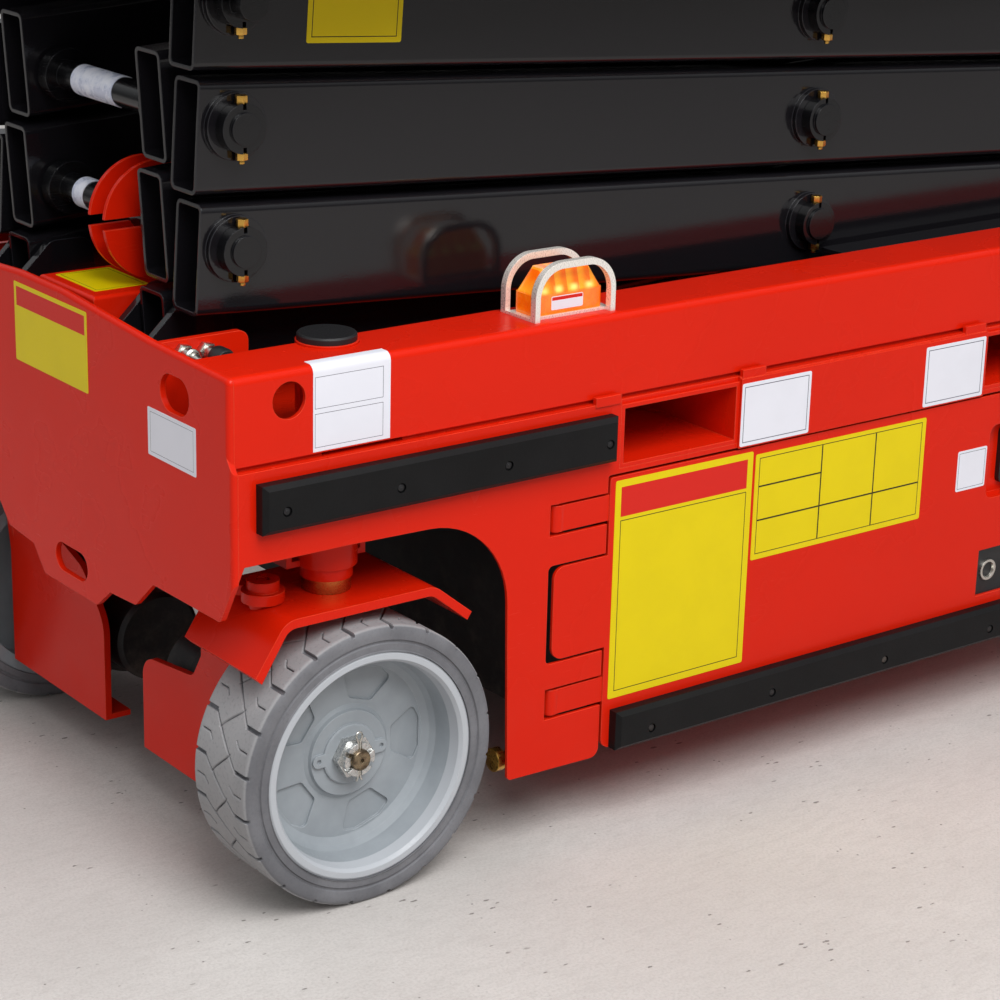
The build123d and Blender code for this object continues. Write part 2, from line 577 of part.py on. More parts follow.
def beacon_base():
    """Thin base plate of the lamp, and the bent flat bars that stand on both sides of it."""
    parts = Pos(LAMP_X, LAMP_Y, RAIL_TOP + LAMP_PLATE / 2) * Box(2 * LAMP_HALF, 50, LAMP_PLATE)
    for side in (1, -1):
        outer = extrude(make_face(hoop_edge(LAMP_HALF, LAMP_GUARD, 45)), HOOP_W)
        inner = extrude(make_face(hoop_edge(LAMP_HALF - HOOP_T, LAMP_GUARD - HOOP_T, 45 - HOOP_T)), HOOP_W + 2)
        hoop = Rot(90, 0, 0) * (outer - Pos(0, -1, -1) * inner)
        shift = LAMP_Y + side * 32 + HOOP_W / 2
        parts += Pos(LAMP_X, shift, RAIL_TOP) * hoop
        for foot in (1, -1):
            parts += block(LAMP_X + foot * LAMP_HALF, LAMP_X + foot * (LAMP_HALF - HOOP_T), LAMP_Y,
                           LAMP_Y + side * 32, RAIL_TOP, RAIL_TOP + LAMP_PLATE)
    return parts


def hoop_edge(half, top, radius):
    """Outline of a flat bar bent over the lamp, feet on the rail."""
    return FilletPolyline((-half, 0), (-half, top), (half, top), (half, 0), radius=radius, close=False) + \
        Line((half, 0), (-half, 0))


def deck_box():
    """Small red box on the deck behind the front plate."""
    box_ = block(FACE_X - 146, FACE_X - PLATE_T - 3, -20, INNER_Y - TUBE_W - 24, DECK_TOP,
                 RAIL_TOP + 24)
    return fillet(box_.faces().sort_by(Axis.Z)[-1].edges(), 5)


def ladder():
    """Rear steps: two flat stiles and four treads."""
    x0, x1 = TAIL_X - LADDER_OUT, TAIL_X
    shape = None
    for side in (1, -1):
        y0, y1 = side * LADDER_HALF, side * (LADDER_HALF + 8)
        points = [(x1, 330), (x1, RAIL_TOP - 20), (x1 - 20, LADDER_TOP), (x0 + 20, LADDER_TOP), (x0, LADDER_TOP - 40),
                  (x0, 300), (x0 + 40, 270)]
        stile = side_plate(points, y0, y1, rounds=[(4, 20), (5, 20)])
        shape = stile if shape is None else shape + stile
    for step in range(4):
        z = LADDER_FOOT + step * LADDER_STEP
        shape += block(x0 + 10, x1 - 25, -LADDER_HALF, LADDER_HALF, z, z + 25)
    return shape


# Doors

def latch_pan(grow, y0, y1):
    """Outline of the door's latch pan, carried from y0 to y1."""
    mid = MID_WHEELS_X - LATCH_BACK
    x0, x1 = mid - LATCH_W / 2 - grow, mid + LATCH_W / 2 + grow
    low, high = LATCH_Z - LATCH_H / 2 - grow, LATCH_Z + LATCH_H / 2 + grow
    return side_plate([(x0, low), (x1, low), (x1, high), (x0, high)], y0, y1, rounds=[(i, 14) for i in range(4)])


def door():
    """Left swing-out door: folded panel with its tab, tray floor, latch pan and two hinge arms."""
    rear, front = DOOR_REAR_X, DOOR_FRONT_X
    top = DOOR_TOP - DOOR_GAP
    panel = side_plate([(rear, DOOR_LOW), (front, DOOR_LOW), (front, top), (rear, top)], HALF - SHEET_T, HALF,
                       rounds=[(0, 16), (1, 16), (2, 4), (3, 4)])
    panel += door_tab(0, 0, TAB_ROUND, HALF - SHEET_T, HALF)
    socket_x = MID_WHEELS_X - 177
    panel -= block(socket_x - SOCKET_W, socket_x, HALF - 20, HALF + 5, SOCKET_Z[0], SOCKET_Z[1])
    panel -= latch_pan(0, HALF - 20, HALF + 5)
    latch = latch_pan(3, HALF - 26, HALF - SHEET_T) - latch_pan(0, HALF - 23, HALF)
    shape = panel + latch
    for x0 in (rear + 16, front - 20):
        shape += block(x0, x0 + 4, HALF - 60, HALF - 4, DOOR_LOW + 6, top - 4)
    shape += block(rear + 16, front - 16, HALF - 40, HALF - 4, top - 8, top - 4)
    shape += block(rear + 30, front - 16, HALF - TRAY_DEPTH, HALF - 4, DOOR_LOW, DOOR_LOW + 6)
    shape += block(rear + 16, rear + 31, HALF - 60, HALF - 4, DOOR_LOW + 6, DOOR_LOW + 12)
    for z in HINGE_Z:
        arm = block(front - 20, HINGE_X, HALF - 11, HALF - 2, z - HINGE_H / 2, z + HINGE_H / 2)
        knuckle = rod_z(HINGE_X, HINGE_Y, HINGE_R, z - HINGE_H / 2, z + HINGE_H / 2)
        arm -= rod_z(HINGE_X, HINGE_Y, HINGE_R - 1, z - 40, z + 40)
        shape += arm + knuckle - rod_z(HINGE_X, HINGE_Y, HINGE_PIN_R + FIT, z - 40, z + 40)
    return shape


def door_pins():
    """Hinge pins of both doors, held by small brackets behind the sheet."""
    pieces = []
    for z in HINGE_Z:
        low, high = z - HINGE_H / 2, z + HINGE_H / 2
        piece = rod_z(HINGE_X, HINGE_Y, HINGE_PIN_R, low - 14, high + 14)
        for z0 in (low - 14, high + 5):
            piece += block(HINGE_X - 14, HINGE_X + 14, HINGE_Y - 16, HALF - SHEET_T, z0, z0 + 9)
        pieces += [piece, mirrored(piece)]
    return pieces


def door_bar():
    """Rubber bar along the foot of the left door."""
    rear_end, front_end = DOOR_SCREW_END
    x0, x1 = DOOR_REAR_X + 14, DOOR_FRONT_X - 14
    return rubber_bar(x0, x1, DOOR_BAR_Z, DOOR_BAR_H, spread(x0 + rear_end, x1 - front_end, 5), DOOR_SCREW_Z)


def battery_pack():
    """Battery block in the left tray."""
    pack = block(MID_WHEELS_X - 60, DOOR_FRONT_X - 60, HALF - TRAY_DEPTH + 12, HALF - 64, DOOR_LOW + 6, 395)
    return fillet(pack.edges().filter_by(Axis.Z), 10)


def power_unit():
    """Hydraulic tank and pump in the right tray."""
    y0, y1 = 64 - HALF, TRAY_DEPTH - 12 - HALF
    tank_x, base = MID_WHEELS_X + 55, DOOR_LOW + 6
    tank = fillet(block(tank_x, DOOR_FRONT_X - 100, y0, y1, base, 420).edges().filter_by(Axis.Z), 12)
    motor = Pos(tank_x - 150, (y0 + y1) / 2, base + 88) * (Rot(0, 90, 0) * Cylinder(70, 302))
    foot = block(tank_x - 280, tank_x - 20, (y0 + y1) / 2 - 50, (y0 + y1) / 2 + 50, base, base + 33)
    return tank + motor + foot


# Steering

def knuckle(left):
    """Kingpin, fender, motor mount and guard of one steered wheel, drawn for the left side."""
    x, y = KING_X, KING_Y
    top, low = FENDER_Z, FENDER_Z - FENDER_T
    out_y, in_y = HALF - 18, HALF - 190
    a = FRONT_AXLE_X
    line = [
        (a + 163, 343), (a + 118, top), (a - 108, top), (a - 167, 363), (a - 160, 353),
        (a - 104, low), (a + 114, low), (a + 154, 334),
    ]
    shape = side_plate(line, in_y, out_y, rounds=[(1, 30), (2, 30), (5, 20), (6, 20)])
    shape += rod_z(x, y, KINGPIN_R, low + 2, RAIL_TOP - 2)
    shape += rod_z(x + STEER_ARM, y, 18, low, top - 2)
    shape += rod_z(x + STEER_ARM, y, TIE_PIN_R, low + 2, top + 2 + TIE_ROD_H + TIE_BOSS_H - 2)
    mount_y = HALF - TYRE_W - 12
    mount = side_plate([(a - 105, low + 1), (a - 80, 130), (a + 80, 130), (a + 105, low + 1)], mount_y - 14, mount_y,
                       rounds=[(1, 50), (2, 50)])
    mount -= rod_y(a, WHEEL_R, 45 + SEAT, mount_y - 20, mount_y + 5)
    shape += mount
    gx = a + GUARD_X
    if left:
        guard = [
            (GUARD_IN, GUARD_LOW), (GUARD_IN, 222), (GUARD_IN + 135, 238), (GUARD_IN + 158, 275),
            (GUARD_IN + 160, low + 1), (GUARD_IN + 236, low + 1), (GUARD_IN + 236, GUARD_LOW),
        ]
        rounds = [(1, 32), (2, 20)]
    else:
        guard = [
            (GUARD_IN, GUARD_LOW), (GUARD_IN, 235), (GUARD_IN + 60, 300), (GUARD_IN + 168, 336),
            (GUARD_IN + 176, low + 1), (GUARD_IN + 282, low + 1), (GUARD_IN + 282, GUARD_LOW),
        ]
        rounds = [(1, 60), (2, 50)]
    shape += cross_plate(guard, gx - GUARD_T, gx, rounds)
    shape += block(gx - 40, gx - 1, GUARD_IN, guard[-1][0], GUARD_LOW, GUARD_LOW + 8)
    shape += block(gx - GUARD_T, a + 128, HALF - 210, max(guard[-1][0], HALF - 170), low - 40, low + 1)
    return shape


def drive_motor():
    """Wheel motor behind the mount plate, and its flange."""
    mount_y = HALF - TYRE_W - 12
    x, z = FRONT_AXLE_X, WHEEL_R
    shape = rod_y(x, z, MOTOR_R, MOTOR_IN, mount_y - 14)
    shape = chamfer(shape.edges().filter_by(GeomType.CIRCLE).sort_by(Axis.Y)[0], 10)
    brake = rod_y(x, z, BRAKE_R, BRAKE_IN, MOTOR_IN + 1)
    shape += chamfer(brake.edges().filter_by(GeomType.CIRCLE).sort_by(Axis.Y)[0], 6)
    shape += rod_y(x, z, 45, mount_y - 15, mount_y + 4)
    shape += rod_y(x, z, WHEEL_BORE_R - FIT, mount_y, HALF - DISH_DEPTH)
    shape += Pos(x - 20, 205, z + MOTOR_R) * Box(70, 70, 40)
    return shape


def tie_rod():
    """Flat bar that joins both steering arms, stepped forward between its eyes to clear the kingpins."""
    x, far = KING_X + STEER_ARM, KING_X + STEER_ARM + TIE_JOG
    low, half_w = FENDER_Z + 2, TIE_ROD_W / 2
    outline = [
        (x - half_w, KING_Y), (x - half_w, KING_Y - 26), (far - half_w, KING_Y - 64), (far - half_w, 64 - KING_Y),
        (x - half_w, 26 - KING_Y), (x - half_w, -KING_Y), (x + half_w, -KING_Y), (x + half_w, 20 - KING_Y),
        (far + half_w, 58 - KING_Y), (far + half_w, KING_Y - 58), (x + half_w, KING_Y - 20), (x + half_w, KING_Y),
    ]
    bar = Pos(0, 0, low) * extrude(make_face(Polyline(*outline, close=True)), TIE_ROD_H)
    for side in (1, -1):
        bar += rod_z(x, side * KING_Y, TIE_EYE_R, low, low + TIE_ROD_H)
        bar += rod_z(x, side * KING_Y, TIE_BOSS_R, low, low + TIE_ROD_H + TIE_BOSS_H)
    for side in (1, -1):
        gap = FIT if side > 0 else OPEN_GAP
        bar -= rod_z(x, side * KING_Y, TIE_PIN_R + gap, low - 5, low + TIE_ROD_H + TIE_BOSS_H + 5)
    return bar


def kingpin_caps():
    """Black caps on the kingpin housings."""
    cap = rod_z(KING_X, KING_Y, 38, RAIL_TOP + 3, RAIL_TOP + 12)
    cap = chamfer(cap.edges().filter_by(GeomType.CIRCLE).sort_by(Axis.Z)[-1], 2)
    return [cap, mirrored(cap)]


def kingpin_bushes():
    """Bronze thrust bushes between the housings and the fenders."""
    bush = rod_z(KING_X, KING_Y, BUSH_R, FENDER_Z + SEAT, FENDER_Z + 18)
    bush -= rod_z(KING_X, KING_Y, KINGPIN_R + FIT, FENDER_Z - 5, FENDER_Z + 40)
    return [bush, mirrored(bush)]


# Scissor stack

def mid_z(level):
    """Height of the middle pin of a level, counted from 1."""
    return BASE_PIN_Z + STACK_PITCH * (level - 0.5)


def arm_tube(level, lean, y_out):
    """One hollow arm tube; lean is +1 when its front end is high."""
    length = ARM_SPAN + 2 * TUBE_OVER
    section = fillet(Rectangle(TUBE_W, TUBE_H).vertices(), TUBE_ROUND)
    hollow = fillet(Rectangle(TUBE_W - 2 * TUBE_T, TUBE_H - 2 * TUBE_T).vertices(), TUBE_ROUND - TUBE_T)
    bar = extrude(section - hollow, length / 2, both=True)
    bar = Rot(0, 90, 0) * (Rot(0, 0, 90) * bar)
    return Pos(MID_X, y_out - TUBE_W / 2, mid_z(level)) * (Rot(0, -lean * TUBE_TILT, 0) * bar)


def pin_spots(level, lean):
    """Rear, middle and front pin places of an arm as (x, z)."""
    z = mid_z(level)
    drop = lean * STACK_PITCH / 2
    return (REAR_PIN_X, z - drop), (MID_X, z), (PIN_X, z + drop)


def outer_arm(level):
    """Outer arm pair: two tubes with bored bosses at the three pins."""
    tube = arm_tube(level, 1, OUTER_Y)
    for index, (x, z) in enumerate(pin_spots(level, 1)):
        radius = SHAFT_R if index != 1 else PIN_R
        tube += rod_y(x, z, BOSS_R, OUTER_Y - 1, OUTER_Y + BOSS_T)
        tube -= rod_y(x, z, radius + SEAT, OUTER_Y - TUBE_W - 1, OUTER_Y + BOSS_T + 1)
    return [tube, mirrored(tube)]


def inner_point(level, along, off):
    """A point on an inner arm: along from its front pin, off square to the pin line."""
    x0, z0 = PIN_X, BASE_PIN_Z + STACK_PITCH * (level - 1)
    x = x0 - along * math.cos(FOLD) + off * math.sin(FOLD)
    z = z0 + along * math.sin(FOLD) + off * math.cos(FOLD)
    return x, z


def inner_arm(level):
    """Inner arm pair, tied by round cross tubes; the cylinder's lugs sit on two of them."""
    tube = arm_tube(level, -1, INNER_Y)
    frame = tube + mirrored(tube)
    inside = INNER_Y - TUBE_W
    for along in (330,) if level == 1 else (330, ARM_SPAN - 330):
        x, z = inner_point(level, along, 0)
        frame += rod_y(x, z, CROSS_R, -inside - 1, inside + 1)
    if level == 1:
        frame += cylinder_lugs(inner_point(1, EYE_LOW, EYE_OFF_LOW), inner_point(1, EYE_LOW + LUG_BACK, -50))
        for side in (1, -1):
            x, z = inner_point(1, EYE_LOW, EYE_OFF_LOW)
            frame -= rod_y(x, z, EYE_PIN_R + FIT, side * (EYE_W / 2), side * 70)
    if level == 2:
        frame += cylinder_lugs(inner_point(2, EYE_HIGH, EYE_OFF_HIGH), inner_point(2, EYE_HIGH - LUG_AHEAD, 25))
    for index, (x, z) in enumerate(pin_spots(level, -1)):
        gap = OPEN_GAP if index == 0 and level < LEVELS else FIT
        radius = PIN_R if index == 1 or (index == 2 and level == 1) else SHAFT_R
        for side in (1, -1):
            frame -= rod_y(x, z, radius + gap, side * (inside - 2), side * (INNER_Y + 2))
    return frame


def cylinder_lugs(eye, bar):
    """Cross tube and lug pair that hold one end of the lift cylinder."""
    inside = INNER_Y - TUBE_W
    shape = rod_y(bar[0], bar[1], CROSS_R, -inside - 1, inside + 1)
    dx, dz = eye[0] - bar[0], eye[1] - bar[1]
    size = math.hypot(dx, dz)
    nx, nz = -dz / size, dx / size
    for side in (1, -1):
        y0 = side * (EYE_W / 2 + RUN)
        y1 = side * (EYE_W / 2 + RUN + LUG_T)
        lug = side_plate([(bar[0] + nx * 26, bar[1] + nz * 26), (bar[0] - nx * 26, bar[1] - nz * 26),
                          (eye[0] - nx * 34, eye[1] - nz * 34), (eye[0] + nx * 34, eye[1] + nz * 34)], y0, y1)
        shape += lug + rod_y(eye[0], eye[1], 36, y0, y1 + side * 4)
    return shape


def arm_pins(level):
    """Shafts through both ends and pins at the middle of an outer arm, with clamp rings."""
    shapes = []
    end = OUTER_Y + BOSS_T + CLAMP_T + 4
    (rx, rz), (mx, mz), (fx, fz) = pin_spots(level, 1)
    reach = CHANNEL_OUT - CHANNEL_T - 3 if level == 1 else end
    rear = rod_y(rx, rz, SHAFT_R, -reach, reach)
    nose = end + (20 if level == LEVELS else 0)
    front = rod_y(fx, fz, SHAFT_R, -nose, nose)
    middle = rod_y(mx, mz, PIN_R, INNER_Y - TUBE_W - 8, end)
    shapes = [front, middle, mirrored(middle), rear]
    spots = ((0, fx, fz, 1), (1, mx, mz, 1), (2, mx, mz, -1), (0, fx, fz, -1))
    for index, x, z, side in spots:
        y0 = side * (OUTER_Y + BOSS_T + SEAT)
        y1 = side * (OUTER_Y + BOSS_T + CLAMP_T)
        shapes[index] += clamp_ring(x, z, y0, y1)
    for side in (1, -1):
        if level == 1:
            shapes[3] += rod_y(rx, rz, ROLLER_R, side * (reach - ROLLER_W), side * reach)
        else:
            shapes[3] += clamp_ring(rx, rz, side * (OUTER_Y + BOSS_T + SEAT), side * (OUTER_Y + BOSS_T + CLAMP_T))
        if level < LEVELS:
            inside = INNER_Y - TUBE_W - RUN
            shapes[0] += rod_y(fx, fz, COLLAR_R, side * (inside - COLLAR_T), side * inside)
    return shapes


def clamp_ring(x, z, y0, y1):
    """Ring that a bolt pinches on a pin's end, slit above and below."""
    ring = rod_y(x, z, CLAMP_R, y0, y1)
    for side in (1, -1):
        ring -= block(x - CLAMP_SLIT / 2, x + CLAMP_SLIT / 2, min(y0, y1) - 1, max(y0, y1) + 1,
                      z + side * (PIN_R + 0.5), z + side * (CLAMP_R + 1))
    return ring


def top_rollers():
    """Shaft and rollers of the highest inner arm, in the platform's channels."""
    x, z = pin_spots(LEVELS, -1)[0]
    reach = CHANNEL_OUT - CHANNEL_T - 3
    shaft = rod_y(x, z, SHAFT_R, -reach, reach)
    for side in (1, -1):
        shaft += rod_y(x, z, ROLLER_R, side * (reach - ROLLER_W), side * reach)
    return shaft


def hose_discs():
    """Pair of slotted red guide discs on the lower front shaft."""
    x, z = pin_spots(1, 1)[2]
    discs = []
    for y0 in (62, 100):
        disc = rod_y(x, z, DISC_R, y0, y0 + 6)
        disc -= block(x + SHAFT_R - 4, x + DISC_R + 2, y0 - 1, y0 + 7, z - 7, z + 7)
        disc -= rod_y(x, z, SHAFT_R + SEAT, y0 - 1, y0 + 7)
        discs.append(disc)
    return discs


# Lift cylinder

def eye_points():
    """Places of the cylinder's lower and upper eyes."""
    return inner_point(1, EYE_LOW, EYE_OFF_LOW), inner_point(2, EYE_HIGH, EYE_OFF_HIGH)


def along_cylinder(shape, start):
    """Turn a shape built up +Z so that it runs from the lower eye to the upper one."""
    (x0, z0), (x1, z1) = eye_points()
    angle = math.degrees(math.atan2(x1 - x0, z1 - z0))
    return Pos(x0, 0, z0) * (Rot(0, angle, 0) * (Pos(0, 0, start) * shape))


def cylinder_length():
    """Distance between the eyes, folded."""
    (x0, z0), (x1, z1) = eye_points()
    return math.hypot(x1 - x0, z1 - z0)


def cylinder_barrel():
    """Barrel with its lower eye; the bore takes the rod."""
    length = cylinder_length() - 110
    body = Pos(0, 0, length / 2 + 30) * Cylinder(CYL_R, length - 60)
    body += Pos(0, 0, 35) * Box(56, 52, 60)
    gland = Pos(0, 0, length - 15) * Cylinder(CYL_R + 8, 40)
    shape = along_cylinder(body + gland, 0)
    (x0, z0), _ = eye_points()
    shape += rod_y(x0, z0, EYE_R, -EYE_W / 2, EYE_W / 2)
    reach = EYE_W / 2 + RUN + LUG_T + 8
    shape += rod_y(x0, z0, EYE_PIN_R, -reach, reach)
    bore = Pos(0, 0, (length + 110) / 2 + 60) * Cylinder(ROD_R + FIT, length)
    return shape - along_cylinder(bore, 0)


def cylinder_rod():
    """Plated rod with the upper eye."""
    length = cylinder_length()
    rod = Pos(0, 0, (length + 120) / 2) * Cylinder(ROD_R, length - 120)
    shape = along_cylinder(rod, 0)
    _, (x1, z1) = eye_points()
    shape += rod_y(x1, z1, EYE_R, -EYE_W / 2, EYE_W / 2)
    return shape


# Platform

def platform_deck():
    """Floor and toe boards."""
    half = PLAT_W / 2
    floor = block(PLAT_REAR, PLAT_FRONT, -half, half, FLOOR_Z - FLOOR_T, FLOOR_Z)
    side_y = GATE_HALF + GATE_GAP + SQ
    for side in (1, -1):
        floor += block(PLAT_REAR, PLAT_FRONT, side * half, side * (half - TOE_T), FLOOR_Z - TOE_DROP, FLOOR_Z + TOE_H)
        floor += block(PLAT_REAR, PLAT_REAR + TOE_T, side * side_y, side * half, FLOOR_Z - TOE_DROP, FLOOR_Z + TOE_H)
    floor += block(PLAT_REAR, PLAT_REAR + TOE_T, -side_y - 1, side_y + 1, FLOOR_Z - TOE_DROP, FLOOR_Z)
    return floor


def platform_frame():
    """Under the floor: roller channels, hinge plates of the front shaft and stiffening ribs."""
    under = FLOOR_Z - FLOOR_T
    pieces = []
    x0, x1 = PLAT_REAR + 40, MID_X - 80
    channel = roller_channel(TOP_PIN_Z, x0, x1)
    channel += block(x0, x1, CHANNEL_OUT - CHANNEL_T, CHANNEL_OUT, TOP_PIN_Z + CHANNEL_H / 2 - 1, under)
    outline = [(PIN_X - 60, under), (PIN_X - 35, TOP_PIN_Z - 35), (PIN_X + 35, TOP_PIN_Z - 35), (PIN_X + 60, under)]
    hinge = side_plate(outline, OUTER_Y - TUBE_W - 16, OUTER_Y - TUBE_W - 6, rounds=[(1, 30), (2, 30)])
    hinge -= rod_y(PIN_X, TOP_PIN_Z, SHAFT_R + FIT, OUTER_Y - 90, OUTER_Y)
    for piece in (channel, hinge):
        pieces += [piece, mirrored(piece)]
    rib_half = INNER_Y - TUBE_W - 10
    for x in (MID_X - 410, MID_X + 190):
        pieces.append(block(x, x + 6, -rib_half, rib_half, under - 30, under))
    return pieces


def post(x, y, z0, z1):
    """Square guardrail post."""
    return block(x - SQ / 2, x + SQ / 2, y - SQ / 2, y + SQ / 2, z0, z1)


def main_rails():
    """Side guardrails and the fixed rear posts."""
    y = PLAT_W / 2 + SQ / 2
    top, mid = FLOOR_Z + RAIL_H, FLOOR_Z + RAIL_H / 2
    left = None
    for z in (top, mid):
        bar = block(PLAT_REAR, PLAT_FRONT - 20, y - SQ / 2, y + SQ / 2, z - SQ, z)
        left = bar if left is None else left + bar
    for x in (PLAT_REAR + SQ / 2, -350, 420, PLAT_FRONT - 40):
        left += post(x, y, FLOOR_Z - 40, top - 1)
    rear_x = PLAT_REAR + SQ / 2
    left += post(rear_x, GATE_HALF + SQ / 2 + GATE_GAP, FLOOR_Z, top - 1)
    for z in (top, mid):
        left += block(PLAT_REAR, PLAT_REAR + SQ, GATE_HALF + GATE_GAP, y, z - SQ, z)
    right = mirrored(left)
    gate_y, low = GATE_HALF - SQ / 2, FLOOR_Z + 60
    for z0 in (low - RUN - 10, top + RUN):
        lug = block(rear_x - 14, rear_x + 14, gate_y - 14, GATE_HALF + GATE_GAP + SQ, z0, z0 + 10)
        left += lug - rod_z(rear_x, gate_y, GATE_PIN_R + FIT, z0 - 1, z0 + 11)
    left += block(rear_x - 14, rear_x + 14, GATE_HALF + GATE_GAP + 2, GATE_HALF + GATE_GAP + SQ - 2, top - 2, top + RUN + 1)
    return [left, right]


def gate():
    """Rear entry gate, hinged on the left."""
    x, top = PLAT_REAR + SQ / 2, FLOOR_Z + RAIL_H
    low = FLOOR_Z + 60
    shape = None
    for y in (GATE_HALF - SQ / 2, SQ / 2 - GATE_HALF):
        piece = post(x, y, low, top)
        shape = piece if shape is None else shape + piece
    for z in (top, FLOOR_Z + RAIL_H / 2, low + TOE_H):
        shape += block(x - SQ / 2, x + SQ / 2, SQ / 2 - GATE_HALF, GATE_HALF - SQ / 2, z - SQ, z)
    shape += block(x - 2, x + 2, SQ / 2 - GATE_HALF, GATE_HALF - SQ / 2, low, low + TOE_H)
    shape += rod_z(x, GATE_HALF - SQ / 2, GATE_PIN_R, low - RUN - 16, low + 1)
    shape += rod_z(x, GATE_HALF - SQ / 2, GATE_PIN_R, top - 1, top + RUN + 16)
    return shape


def extension_deck():
    """Sliding extension floor on its skids, with side and front toe boards."""
    x0, x1 = PLAT_FRONT - EXT_LEN, PLAT_FRONT - 8
    half = PLAT_W / 2 - EXT_IN
    z = FLOOR_Z + EXT_STEP
    floor = block(x0, x1, -half, half, z, z + 4)
    for side in (1, -1):
        floor += block(x0, x1, side * half, side * (half - TOE_T), z, z + TOE_H)
        for y in (half - 40, half - 300):
            floor += block(x0, x1, side * y, side * (y - 20), FLOOR_Z + SEAT, z + 1)
    floor += block(x1 - TOE_T, x1, -half, half, z, z + TOE_H)
    return floor


def extension_rails():
    """U-shaped guardrail of the extension, inside the main rails."""
    y = PLAT_W / 2 - EXT_IN + SQ / 2
    top, mid = FLOOR_Z + RAIL_H, FLOOR_Z + RAIL_H / 2
    x0, x1 = PLAT_FRONT - EXT_LEN, PLAT_FRONT - 8
    shape = None
    for z in (top, mid):
        for side in (1, -1):
            bar = block(x0, x1, side * y - SQ / 2, side * y + SQ / 2, z - SQ, z)
            shape = bar if shape is None else shape + bar
        shape += block(x1 - SQ, x1, -y, y, z - SQ, z)
    for side in (1, -1):
        for x in (x0 + SQ / 2, (x0 + x1) / 2, x1 - SQ / 2):
            shape += post(x, side * y, FLOOR_Z + 2 * EXT_STEP, top - 1)
    for yy in (-140, 140):
        shape += post(x1 - SQ / 2, yy, FLOOR_Z + TOE_H + 20, top - 1)
    return shape


def control_box():
    """Upper control box hung on the extension's front rail, with its lever and guard."""
    x1 = PLAT_FRONT - 8 - SQ - SEAT
    z = FLOOR_Z + RAIL_H
    box_ = block(x1 - 110, x1, -330, -170, z - 200, z - 40)
    box_ = fillet(box_.edges().filter_by(Axis.X), 8)
    lever = rod_z(x1 - 60, -215, 9, z - 41, z + 4) + Pos(x1 - 60, -215, z + 10) * Sphere(17)
    button = rod_z(x1 - 60, -285, 16, z - 41, z - 24)
    hook = block(x1 - 10, x1, -320, -180, z - 60, z + 6) + block(x1 - 10, x1 + SQ + 4, -320, -180, z + SEAT, z + 6)
    return box_ + lever + button + hook


os.makedirs("parts", exist_ok=True)

WHEEL_SPOTS = (
    # corner name, axle x, left side
    ("front_left", FRONT_AXLE_X, True),
    ("front_right", FRONT_AXLE_X, False),
    ("rear_left", REAR_AXLE_X, True),
    ("rear_right", REAR_AXLE_X, False),
)
for corner, axle_x, is_left in WHEEL_SPOTS:
    for kind, make in (("tyre", wheel_tyre), ("rim", wheel_rim)):
        piece = make(axle_x)
        save(f"{kind}_{corner}", piece if is_left else mirrored(piece))

rails_left = chassis_rails()
save("chassis_rails", rails_left, mirrored(rails_left))
channel_left = chassis_channel()
save("roller_channels", channel_left, mirrored(channel_left))
save("front_plate", front_plate())
save("rear_plate", rear_plate())
sheet_left = side_sheet()
save("side_sheets", sheet_left, mirrored(sheet_left))
save("fork_pockets", *fork_pockets())
save("deck_plate", deck_plate())
save("frame_plates", *frame_plates())
save("tunnel", tunnel())
save("bulkheads", *bulkheads())
save("front_axle_beam", axle_beam())
save("rear_axle", rear_axle())
save("upper_bars", *upper_bars())
save("pivot_brackets", *pivot_brackets())
save("beacon_lens", beacon())
save("beacon_base", beacon_base())
save("deck_box", deck_box())
save("ladder", ladder())
save("hinge_pins", *door_pins())
save("kingpin_caps", *kingpin_caps())
save("kingpin_bushes", *kingpin_bushes())

left_door, left_bar = door(), door_bar()
save("door_left", left_door)
save("door_right", mirrored(left_door))
save("door_bar_left", left_bar)
save("door_bar_right", mirrored(left_bar))
save("battery_pack", battery_pack())
save("power_unit", power_unit())

save("knuckle_left", knuckle(True))
save("knuckle_right", mirrored(knuckle(False)))
save("drive_motor_left", drive_motor())
save("drive_motor_right", mirrored(drive_motor()))
save("tie_rod", tie_rod())

for number in range(1, LEVELS + 1):
    save(f"inner_arm_{number}", inner_arm(number))
    save(f"outer_arm_{number}", *outer_arm(number))
    save(f"arm_pins_{number}", *arm_pins(number))
save("top_rollers", top_rollers())
save("hose_discs", *hose_discs())
save("lift_barrel", cylinder_barrel())
save("lift_rod", cylinder_rod())

save("platform_deck", platform_deck())
save("platform_frame", *platform_frame())
save("main_rails", *main_rails())
save("gate", gate())
save("extension_deck", extension_deck())
save("extension_rails", extension_rails())
save("control_box", control_box())
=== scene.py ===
"""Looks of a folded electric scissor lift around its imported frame, in metres, +X ahead, +Y left, +Z up."""
import math

import bmesh
import bpy
import numpy as np
from mathutils import Matrix, Vector


